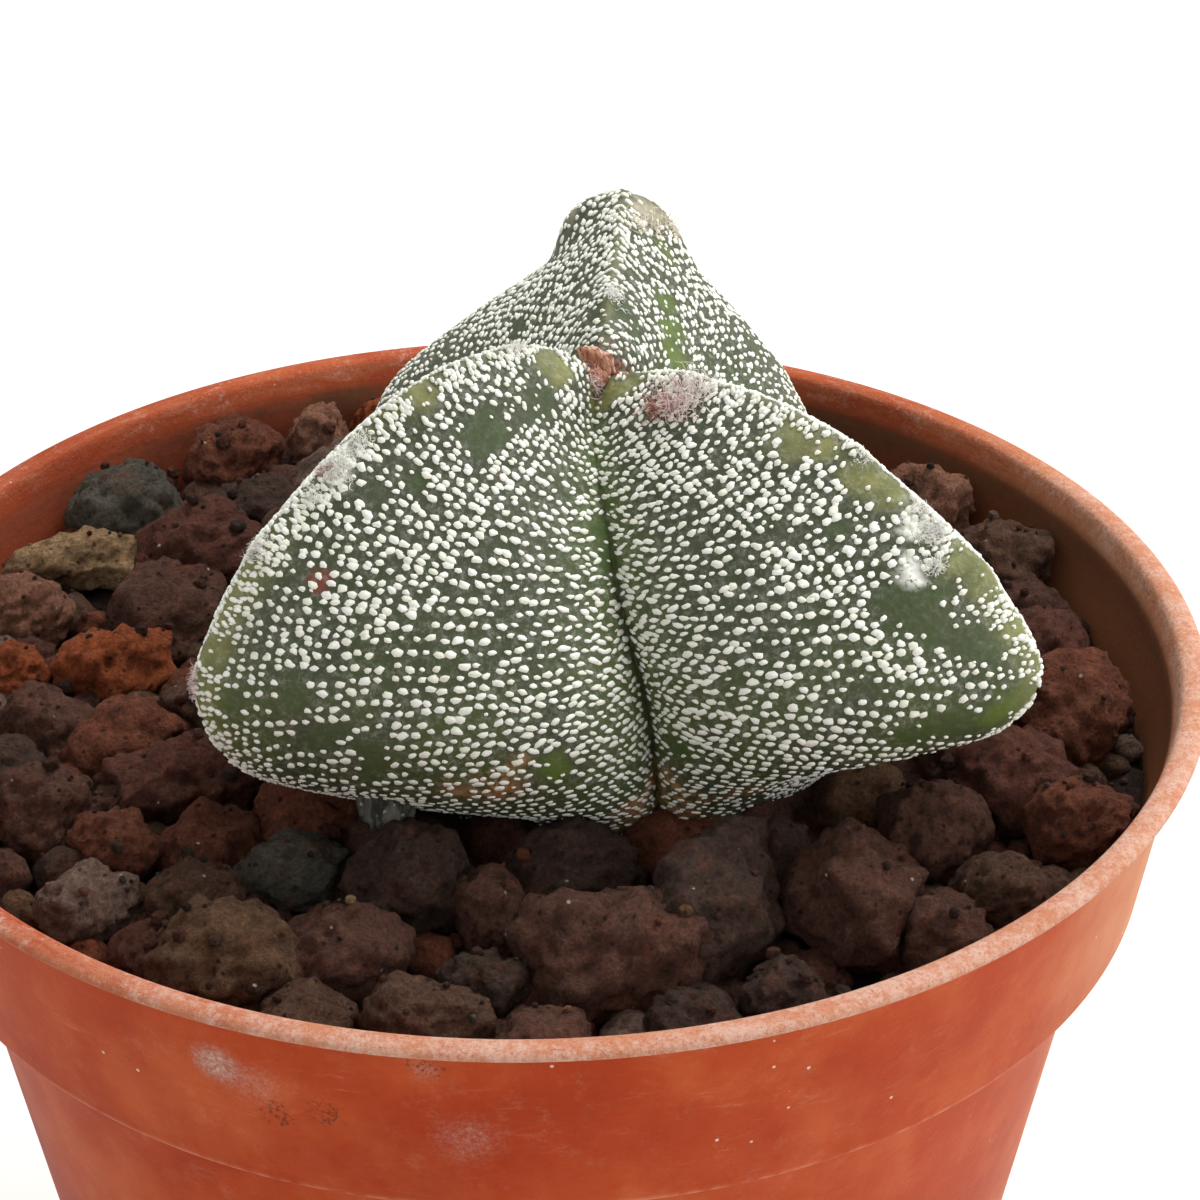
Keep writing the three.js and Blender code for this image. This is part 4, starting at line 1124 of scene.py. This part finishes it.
def build_skin(settings):
    """The skin: six flanks as grids, closer together towards the furrow, joined along ridges and furrows. Its points
    carry marks for the finish: strips along ridges and furrows, spots, and how low they lie. The ridge strip and the
    crest spots take a paler colour that is partly a painted highlight."""
    rows, columns = settings.cells_down + 1, settings.cells_across + 1
    u, v = np.meshgrid(np.linspace(0, 1, columns) ** 1.25, np.linspace(0, 1, rows))
    places = np.stack([u, v], -1).reshape(-1, 2)
    parts = [(skin(rib_number, side, u, v).reshape(-1, 3), grid_triangles(rows, columns, flip=side > 0), places)
             for rib_number in range(len(RIBS)) for side in (-1, 1)]
    points, triangles, places = welded(*joined(parts))
    u, v = places.T
    tip, above = ease(v, 0.3, 0.42), 1 - ease(v, 0.6, 0.72)
    marks = {name: spotted(points, *spots) for name, spots in SKIN_SPOTS.items()}
    # The ridge strip carries the crest colour: partly the ridges' own tone, partly a painted highlight on the lit
    # crests.
    ridge = np.maximum(0.36 * ease(u, 0.92, 0.99) * above, 0.9 * ease(u, 0.84, 0.97) * tip * above)
    marks["crest"] = np.maximum(ridge, marks["crest"])
    marks["furrow"] = bell(u, 0.12 + 0.12 * (1 - ease(v, 0.2, 0.5))) * (1 - 0.4 * ease(v, 0.5, 0.7))
    marks["crease"] = bell(u, 0.016) * ease(v, 0.0, 0.05)
    marks["low"] = ease(v, 0.3, 0.55)
    new_piece("cactus_skin", points + PLANT_PLACE, triangles, flesh_finish(settings), "cactus", ["cactus"], **marks)


def distance_along(line):
    """How far each point of a line is from its start, along the line."""
    return np.concatenate([[0], np.cumsum(length_of(np.diff(line, axis=0))[:, 0])])


def fleck_places(rib_number, side, settings, random):
    """Where flecks grow on a flank, as u and v. Rows run from the furrow to the ridge and fall as they go. They start
    an even distance apart beside the furrow, and part rows run between them wherever their neighbours are further
    apart than a limit. In a row the flecks are an even distance apart. Limit and distance are shorter on the crest
    and near the crown. Each other row is shifted by half a distance, and each fleck is moved a little at random."""
    row_spacing, spacing = settings.row_spacing / MM, settings.fleck_spacing / MM
    jitter = RIBS[rib_number]["fleck_jitter"]
    fine = np.linspace(*FLECKS_DOWN, 400)
    walked = distance_along(skin(rib_number, side, np.full_like(fine, FURROW_WALK), fine))
    levels = np.interp(np.arange(0, walked[-1], row_spacing / ROW_PARTS), walked, fine)
    across = np.linspace(0, 1, 60)
    crest = ease(across, 0.84, 0.93) * RIBS[rib_number]["fleck_crest"]
    reach = np.clip(levels[:, None] + settings.row_shear * across * ease(levels, 0.05, 0.5)[:, None], 0, 0.78)
    lines = skin(rib_number, side, np.broadcast_to(across, reach.shape), reach)
    limit = row_spacing * (ROW_SPLIT - 0.9 * crest)
    places = []
    for row, level in enumerate(levels):
        shift = 0.3 + 0.5 * (row // ROW_PARTS % 2)
        needed = np.ones_like(across)
        if row % ROW_PARTS:
            step = 2 if row % ROW_PARTS == 2 else 1
            gap = length_of(lines[min(row + step, len(levels) - 1)] - lines[max(row - step, 0)])[:, 0]
            needed = (gap > limit * (0.64 + 0.36 * ease(level, *BELOW_CROWN))).astype(float)
            shift += 0.25
        pace = spacing * (1 - 0.45 * crest)[1:] * (0.76 + 0.24 * ease(level, *BELOW_CROWN))
        steps = np.concatenate([[0], np.cumsum(np.diff(distance_along(lines[row])) / pace)])
        count = int(steps[-1])
        u = np.interp(np.arange(count) + shift + jitter * random.uniform(-1, 1, count), steps, across)
        v = np.interp(u, across, reach[row])
        v = v + jitter * random.uniform(-1, 1, count) * ROW_PARTS * (levels[1] - levels[0])
        places.append(np.stack([u, v], -1)[np.interp(u, across, needed) > 0.5])
    u, v = np.concatenate(places).T
    inside = (u > FLECKS_ACROSS[0]) & (u < FLECKS_ACROSS[1]) & (v > FLECK_LOWEST) & (v < FLECKS_DOWN[1])
    return u[inside], v[inside]


def tube_triangles(rings, sides):
    """Two triangles for each cell round a tube, whose points are rings with the same number of sides."""
    k = np.arange(sides)
    following = (k + 1) % sides
    rows = np.arange(rings - 1)[:, None] * sides
    a, b = rows + k, rows + following
    cells = [(a, b, b + sides), (a, b + sides, a + sides)]
    return np.concatenate([np.stack(corners, -1).reshape(-1, 3) for corners in cells])


def tufts(point, normal, long, wide, length, width, height, random):
    """Low ragged domes, one for each point: a base ring under the skin, a ring above it, and a top. A ring's
    distance from the middle is that of an ellipse, times a random number for each corner."""
    count, sides = len(point), FLECK_SIDES
    angle = (np.arange(sides) + random.uniform(-0.25, 0.25, (count, sides))) * 2 * np.pi / sides
    ragged = random.uniform(0.78, 1.22, (count, sides))
    outline = (np.cos(angle) * ragged * length[:, None])[..., None] * long[:, None]
    outline = outline + (np.sin(angle) * ragged * width[:, None])[..., None] * wide[:, None]
    lift = (height[:, None] * random.uniform(0.55, 1.0, (count, sides)))[..., None] * normal[:, None]
    lean = (random.uniform(-0.35, 0.35, (count, 2)) * np.stack([length, width], -1))[..., None]
    base = point[:, None] + outline - FLECK_FOOT * normal[:, None]
    ring = point[:, None] + 0.8 * outline + lift
    top = point + normal * height[:, None] * 1.08 + long * lean[:, 0] + wide * lean[:, 1]
    k = np.arange(sides)
    faces = np.concatenate([
        tube_triangles(2, sides),
        np.stack([k + sides, (k + 1) % sides + sides, np.full(sides, 2 * sides)], -1),
        np.stack([np.zeros(sides - 2, int), k[2:], k[1:-1]], -1),
    ])
    return repeated(np.concatenate([base, ring, top[:, None]], 1), faces)


def flank_flecks(rib_number, side, settings, random):
    """The flecks of one flank, with a tone for each point. Beside the furrow they are drawn out across the rib, and on
    the crest they stand up. They are smaller near the crown, low down and at the tip, and few round the bare spots."""
    rib = RIBS[rib_number]
    u, v = fleck_places(rib_number, side, settings, random)
    point, normal, along_u, along_v = skin_frame(rib_number, side, u, v)
    bare = spotted(point, BARE_SPOTS + CREST_SPOTS + CAP_SPOTS + HOLLOW_SPOTS, 0.6, 0.4)
    kept = (random.uniform(0, 1, len(u)) > 0.82 * bare) & (random.uniform(0, 1, len(u)) > 0.05)
    values = u, v, bare, point, normal, along_u, along_v
    u, v, bare, point, normal, along_u, along_v = (value[kept] for value in values)
    slant = rib["slant"] * (1 - 0.4 * u) - FURROW_SLANT * bell(u, 0.25)
    slant = (slant * ease(v, 0.02, 0.3) + random.uniform(-25, 25, len(u)))[:, None] * DEGREE
    long = unit(unit(along_u) * np.cos(slant) + unit(along_v) * np.sin(slant))
    long = unit(long - normal * (long * normal).sum(-1, keepdims=True))
    near_furrow, crest = bell(u, 0.35) * ease(v, 0.1, 0.3), ease(u, 0.86, 0.97) * rib["fleck_crest"]
    high = 1 - ease(v, *BELOW_CROWN)
    size = settings.fleck_size / MM / 2 * rib["fleck_size"] * (1 - 0.35 * bare)
    size = size * random.uniform(0.75, 1.25, len(u))
    size = np.where(random.uniform(0, 1, len(u)) < 0.08, 0.6 * size, size)
    size = size * (1 - 0.25 * ease(v, 0.52, 0.7)) * (1 - 0.26 * high)
    size = size * (1 - 0.1 * near_furrow) * (1 - 0.15 * crest)
    size = size * (1 - 0.2 * ease(u, 0.6, 0.85) * ease(v, 0.32, 0.42))
    stretch = 1.16 + 0.4 * near_furrow + 0.2 * crest + 0.1 * high
    height = settings.fleck_height / MM * random.uniform(0.7, 1.3, len(u)) * (1 + 1.6 * crest)
    wide = np.cross(normal, long)
    points, triangles = tufts(point, normal, long, wide, size * stretch, size / stretch, height, random)
    return points, triangles, spread(random.uniform(0, 1, len(u)), points)


def build_flecks(settings, material, rib_number):
    """The white flecks on both flanks of a rib."""
    random = np.random.default_rng(FLECK_SEED + rib_number)
    points, triangles, tone = joined([flank_flecks(rib_number, side, settings, random) for side in (-1, 1)])
    name = "flecks_" + RIBS[rib_number]["name"] + "_rib"
    new_piece(name, points + PLANT_PLACE, triangles, material, "cactus", tone=tone)


def hairs(root, course, length, radius, random):
    """Curly tapering hairs: a path that starts along its course and winds as it goes, with a small triangle carried
    along it. The winding is a sine and a cosine of a random phase, which grow towards the tip."""
    count = len(root)
    t = np.linspace(0, 1, HAIR_STEPS)[None, :, None]
    away = unit(np.cross(course, random.normal(size=(count, 3))))
    other = np.cross(course, away)
    phase, turns = random.uniform(0, 2 * np.pi, (count, 1, 1)), random.uniform(0.4, 1.3, (count, 1, 1))
    wind = phase + 2 * np.pi * turns * t
    reach = length[:, None, None]
    curl = 0.28 * reach * t * (np.cos(wind) * away[:, None] + np.sin(wind) * other[:, None])
    path = root[:, None] + course[:, None] * reach * t * (1 - 0.25 * t) + curl
    angle = np.arange(HAIR_SIDES) * 2 * np.pi / HAIR_SIDES
    ring = np.cos(angle)[None, :, None] * away[:, None] + np.sin(angle)[None, :, None] * other[:, None]
    points = path[:, :, None] + radius * (1 - 0.75 * t)[..., None] * ring[:, None]
    tip = (HAIR_STEPS - 1) * HAIR_SIDES
    faces = np.concatenate([tube_triangles(HAIR_STEPS, HAIR_SIDES), [[0, 2, 1], [tip, tip + 1, tip + 2]]])
    return repeated(points.reshape(count, -1, 3), faces)


def build_wool(settings):
    """Tufts of curly hairs on the areoles, rooted at random round each one's middle and leaning away from it."""
    random = np.random.default_rng(HAIR_SEED)
    parts = []
    for rib_number, side, u, v, radius, share, length, tone in AREOLES:
        count = int(settings.hairs * share)
        _, _, along_u, along_v = skin_frame(rib_number, side, np.array([u]), np.array([v]))
        shift = random.normal(size=(count, 2)) * radius / 2
        root_u = np.clip(u + shift[:, 0] / length_of(along_u)[0], 0.02, 0.998)
        root_v = np.clip(v + shift[:, 1] / length_of(along_v)[0], 0.006, 0.77)
        root, normal, _, _ = skin_frame(rib_number, side, root_u, root_v)
        course = unit(normal + 0.5 * (root - root.mean(0)) / radius + 0.45 * random.normal(size=(count, 3)))
        reach = length * random.uniform(0.5, 1.1, count)
        points, triangles = hairs(root - 0.05 * normal, course, reach, settings.hair_thickness / MM / 2, random)
        shade = np.array(linear(*HAIR_TONES[tone])) * random.uniform(0.75, 1.25, (count, 1))
        parts.append((points, triangles, spread(shade, points)))
    points, triangles, tone = joined(parts)
    new_piece("areole_wool", points + PLANT_PLACE, triangles, wool_finish(), "cactus", tone=tone)


def petal(base, azimuth, lean, length, width, curl, roll, seed):
    """A curled scrap of petal: a strip whose middle line is an arc that bends over by curl, and whose cross-section
    is a shallow trough, turned about the middle line by roll. Its width follows a sine along its length."""
    s, t = np.meshgrid(np.linspace(0, 1, SCRAP_ROWS), np.linspace(-1, 1, SCRAP_COLUMNS), indexing="ij")
    bend, roll = (lean + curl * s) * DEGREE, roll * DEGREE
    out = np.cumsum(np.sin(bend), 0) * length / SCRAP_ROWS
    up = np.cumsum(np.cos(bend), 0) * length / SCRAP_ROWS
    outward = from_axis(1, azimuth, 0)
    sideways = from_axis(1, azimuth + 90, 0)
    facing = outward * np.cos(bend)[..., None] - UP * np.sin(bend)[..., None]
    across = sideways * np.cos(roll) + facing * np.sin(roll)
    deep = facing * np.cos(roll) - sideways * np.sin(roll)
    half = width / 2 * np.sin(np.pi * (0.16 + 0.8 * s))
    ragged = 1 + 0.35 * cloud(np.stack([s * 6, t * 0, s * 0 + seed], -1), 1.0, 51)
    trough = 0.4 * half * t * t + 0.1 * cloud(np.stack([s * 4, t * 2, s * 0 + seed], -1), 1.0, 52)
    points = base + outward * out[..., None] + UP * up[..., None]
    points = points + across * (half * t * ragged)[..., None] + deep * trough[..., None]
    return points.reshape(-1, 3), grid_triangles(SCRAP_ROWS, SCRAP_COLUMNS), np.abs(t).ravel() ** 3


def build_scraps(settings):
    """The dried flower's papery scraps in the crown, given their thickness by a Solidify modifier."""
    petals = [petal(np.array(place), *shape, seed) for seed, (place, *shape) in enumerate(SCRAPS, 1)]
    points, triangles, edge = joined(petals)
    scraps = new_piece("flower_scraps", points + PLANT_PLACE, triangles, scrap_finish(settings), "cactus", edge=edge)
    solid = scraps.modifiers.new("thickness", "SOLIDIFY")
    solid.thickness = SCRAP_THICKNESS * MM
    solid.offset = 0


def build_nub(settings):
    """The dead nub low on the left: an egg shape with deep upright folds and a knobbly surface."""
    directions, triangles = ball(NUB_CELLS)
    bearing, rise = np.arctan2(directions[:, 1], directions[:, 0]), directions[:, 2]
    folds = 0.07 * np.sin(9 * bearing + 3 * rise) + 0.05 * np.sin(17 * bearing - 5 * rise)
    shape = 1 + folds + unevenness(directions, NUB_KNOBS)
    points = directions * (NUB_SIZE / 2) * shape[:, None] + NUB_PLACE
    new_piece("dead_nub", points + PLANT_PLACE, triangles, nub_finish(settings), "cactus")


# ---- Stage


def build_camera():
    camera = linked("camera", bpy.data.cameras.new("camera"))
    camera.data.lens = CAMERA_LENS
    camera.data.sensor_width = SENSOR_WIDTH
    camera.data.clip_start = NEAREST_SEEN * MM
    camera.location = Vector(CAMERA_PLACE) * MM
    camera.rotation_euler = ((90 - CAMERA_DIP) * DEGREE, 0, -CAMERA_TURN * DEGREE)
    bpy.context.scene.camera = camera


def build_lights(settings):
    """Square soft boxes that face the object."""
    for name, (place, size) in LIGHTS.items():
        light = bpy.data.lights.new(name, "AREA")
        light.size = size * MM
        light.energy = getattr(settings, name + "_power")
        lamp = linked(name, light)
        lamp.location = Vector(place) * MM
        lamp.rotation_euler = (Vector(place) - Vector(LIGHT_AIM)).to_track_quat("Z", "Y").to_euler()


def build_floor(settings):
    """A wide pale floor: a grid that stays level."""
    line = np.linspace(-FLOOR_REACH, FLOOR_REACH, FLOOR_POINTS)
    points = np.stack(np.meshgrid(line, line, 0.0, indexing="ij"), -1).reshape(-1, 3)
    floor = new_mesh("floor", points, grid_triangles(FLOOR_POINTS, FLOOR_POINTS), floor_finish(settings))


def build_world(settings):
    world = bpy.data.worlds.new("studio")
    world.use_nodes = True
    sky = world.node_tree.nodes["Background"]
    sky.inputs["Color"].default_value = (1.0, 1.0, 1.0, 1.0)
    sky.inputs["Strength"].default_value = settings.surround
    bpy.context.scene.world = world
    bpy.context.scene.view_settings.view_transform = "Standard"


# ---- Settings


def size(description, millimetres):
    return FloatProperty(description=description, default=millimetres * MM, unit="LENGTH", precision=5)


def number(description, value):
    """A count if the value is whole, or else a share or a strength."""
    return (IntProperty if isinstance(value, int) else FloatProperty)(description=description, default=value)


def power(description, watts):
    return FloatProperty(description=description, default=watts, unit="POWER")


def colour(description, *shade):
    return FloatVectorProperty(description=description, default=linear(*shade), subtype="COLOR", min=0, max=1)


class PotSettings(bpy.types.PropertyGroup):
    """Sizes and colours of the pot."""

    wall: size("Thickness of the pot's wall", WALL)
    segments: number("Segments round the pot", 256)
    plastic: colour("Colour of clean plastic", 168, 62, 22)
    # Faded plastic in patches, and also the colour of the painted highlight on the pot's right side.
    plastic_faded_and_lit: colour("Colour where the plastic has faded", 186, 88, 46)
    plastic_deep: colour("Colour where the plastic looks deepest", 152, 48, 16)
    # Painted highlight on the pot's right side, where the side light falls.
    painted_side_highlight: colour("Colour on the side that the sun has reached", 216, 158, 110)
    dust: colour("Chalky dust on the lip and in scuffs", 206, 140, 108)
    lime: colour("Pale lime deposit", 232, 208, 194)
    soil: colour("Crumbs of soil", 70, 52, 40)
    # Colours of the darker, browner inner wall below the lip.
    inner_wall_darker: colour("Stained plastic inside", 142, 72, 50)
    deposit: colour("Brown deposit inside", 106, 68, 48)


class GravelSettings(bpy.types.PropertyGroup):
    """Numbers and colours of the gravel."""

    stone_roughness: number("Strength of lumps and pits", 0.8)
    small_tries: number("Tries to place a small stone", 3000)
    crumbs: number("Number of crumbs dropped on the gravel", 900)
    rust: colour("Rusty patches on lava", 108, 56, 38)
    ash: colour("Ashen patches on lava", 88, 74, 64)
    # Painted shade inside the pores.
    pore_shade: colour("Inside of pores", 20, 13, 11)
    pale_grit: colour("Pale mineral specks", 200, 190, 175)


class PlantSettings(bpy.types.PropertyGroup):
    """Sizes and colours of the plant."""

    cells_across: number("Cells from furrow to ridge", 44)
    cells_down: number("Cells from crown to root", 150)
    fleck_size: size("Width of a white fleck", 0.566)
    fleck_height: size("How far a fleck stands up", 0.07)
    fleck_spacing: size("Distance between flecks in a row", 0.76)
    row_spacing: size("Distance between rows of flecks beside the furrow", 0.49)
    row_shear: number("How far rows fall towards the ridge", 0.17)
    hairs: number("Hairs on a full areole", 520)
    hair_thickness: size("Thickness of a hair of wool", 0.07)
    flesh: colour("Skin between the flecks", 56, 64, 39)
    flesh_pale: colour("Greyer skin", 68, 72, 51)
    bare: colour("Skin without flecks", 64, 80, 38)
    fresh: colour("Youngest skin without flecks", 90, 108, 36)
    # The ridges' own paler skin, lightened as a painted highlight where the crests face the light.
    crest: colour("Skin on the ridges", 128, 128, 74)
    furrow: colour("Skin beside the furrows", 76, 92, 42)
    olive: colour("Skin low on the flanks", 76, 88, 38)
    crease: colour("Bottom of the furrows", 64, 78, 34)
    cap: colour("Aged skin on the rear rib's boss", 146, 138, 114)
    cork: colour("Corky skin at the base", 168, 116, 70)
    scar: colour("Small scars", 122, 58, 40)
    hollow: colour("Dark hollow of the crown", 58, 42, 26)
    fleck: colour("White of the flecks", 250, 250, 240)
    fleck_cream: colour("Cream of the flecks", 238, 238, 214)
    fleck_dirty: colour("Weathered flecks", 188, 184, 164)
    petal: colour("Dry petals", 176, 120, 92)
    petal_dark: colour("Veins of dry petals", 128, 76, 56)
    petal_edge: colour("Bleached edges", 226, 186, 166)
    nub: colour("Shrivelled skin", 104, 104, 96)
    # Painted shade in the folds, over the nub's own dark grey.
    nub_fold_shade: colour("Folds of shrivelled skin", 46, 46, 42)


class StageSettings(bpy.types.PropertyGroup):
    """Light and floor."""

    surround: number("Strength of the white surround", 0.55)
    key_power: power("Power of the light from behind and above", 4.0)
    side_power: power("Power of the light from the right", 1.7)
    fill_power: power("Power of the light from the front", 0.6)
    floor: colour("Colour of the floor", 238, 236, 232)


class PlantedPotSettings(bpy.types.PropertyGroup):
    """All settings of the planted pot."""

    pot: PointerProperty(type=PotSettings)
    gravel: PointerProperty(type=GravelSettings)
    plant: PointerProperty(type=PlantSettings)
    stage: PointerProperty(type=StageSettings)


# ---- Operators


class PLANTEDPOT_OT_pot(bpy.types.Operator):
    """Build the plastic pot"""

    bl_idname = "planted_pot.pot"
    bl_label = "Pot"

    def execute(self, context):
        build_pot(context.scene.planted_pot.pot)
        return {"FINISHED"}


class PLANTEDPOT_OT_gravel(bpy.types.Operator):
    """Build the gravel: bed, stones and crumbs"""

    bl_idname = "planted_pot.gravel"
    bl_label = "Gravel"

    def execute(self, context):
        settings = context.scene.planted_pot.gravel
        material = lava_finish(settings)
        build_bed(material)
        build_stones(settings, material)
        build_crumbs(settings, material)
        return {"FINISHED"}


class PLANTEDPOT_OT_skin(bpy.types.Operator):
    """Build the plant's skin"""

    bl_idname = "planted_pot.skin"
    bl_label = "Skin"

    def execute(self, context):
        build_skin(context.scene.planted_pot.plant)
        return {"FINISHED"}


class PLANTEDPOT_OT_flecks(bpy.types.Operator):
    """Build the white flecks of all three ribs"""

    bl_idname = "planted_pot.flecks"
    bl_label = "Flecks"

    def execute(self, context):
        settings = context.scene.planted_pot.plant
        material = fleck_finish(settings)
        for rib_number in range(len(RIBS)):
            build_flecks(settings, material, rib_number)
        return {"FINISHED"}


class PLANTEDPOT_OT_wool(bpy.types.Operator):
    """Build the wool on the areoles"""

    bl_idname = "planted_pot.wool"
    bl_label = "Wool"

    def execute(self, context):
        build_wool(context.scene.planted_pot.plant)
        return {"FINISHED"}


class PLANTEDPOT_OT_scraps(bpy.types.Operator):
    """Build the dried flower's scraps and the dead nub"""

    bl_idname = "planted_pot.scraps"
    bl_label = "Dry scraps"

    def execute(self, context):
        settings = context.scene.planted_pot.plant
        build_scraps(settings)
        build_nub(settings)
        return {"FINISHED"}


class PLANTEDPOT_OT_stage(bpy.types.Operator):
    """Build the floor, the lights and the camera"""

    bl_idname = "planted_pot.stage"
    bl_label = "Stage"

    def execute(self, context):
        settings = context.scene.planted_pot.stage
        build_world(settings)
        build_floor(settings)
        build_lights(settings)
        build_camera()
        return {"FINISHED"}


class PLANTEDPOT_PT_panel(bpy.types.Panel):
    """Buttons and settings of the planted pot"""

    bl_label = "Planted pot"
    bl_space_type = "VIEW_3D"
    bl_region_type = "UI"
    bl_category = "Planted pot"

    def draw(self, context):
        for operator in OPERATORS:
            self.layout.operator(operator.bl_idname)
        settings = context.scene.planted_pot
        for group in (settings.pot, settings.gravel, settings.plant, settings.stage):
            box = self.layout.box()
            for key in group.bl_rna.properties.keys():
                if key not in ("rna_type", "name"):
                    box.prop(group, key, text=key.replace("_", " ").capitalize())


OPERATORS = [PLANTEDPOT_OT_pot, PLANTEDPOT_OT_gravel, PLANTEDPOT_OT_skin, PLANTEDPOT_OT_flecks, PLANTEDPOT_OT_wool,
             PLANTEDPOT_OT_scraps, PLANTEDPOT_OT_stage]
CLASSES = [PotSettings, GravelSettings, PlantSettings, StageSettings, PlantedPotSettings, *OPERATORS,
           PLANTEDPOT_PT_panel]


def register():
    for cls in CLASSES:
        bpy.utils.register_class(cls)
    bpy.types.Scene.planted_pot = PointerProperty(type=PlantedPotSettings)


def unregister():
    del bpy.types.Scene.planted_pot
    for cls in reversed(CLASSES):
        bpy.utils.unregister_class(cls)


def main():
    register()
    for operator in OPERATORS:
        group, name = operator.bl_idname.split(".")
        getattr(getattr(bpy.ops, group), name)()


if __name__ == "__main__":
    main()
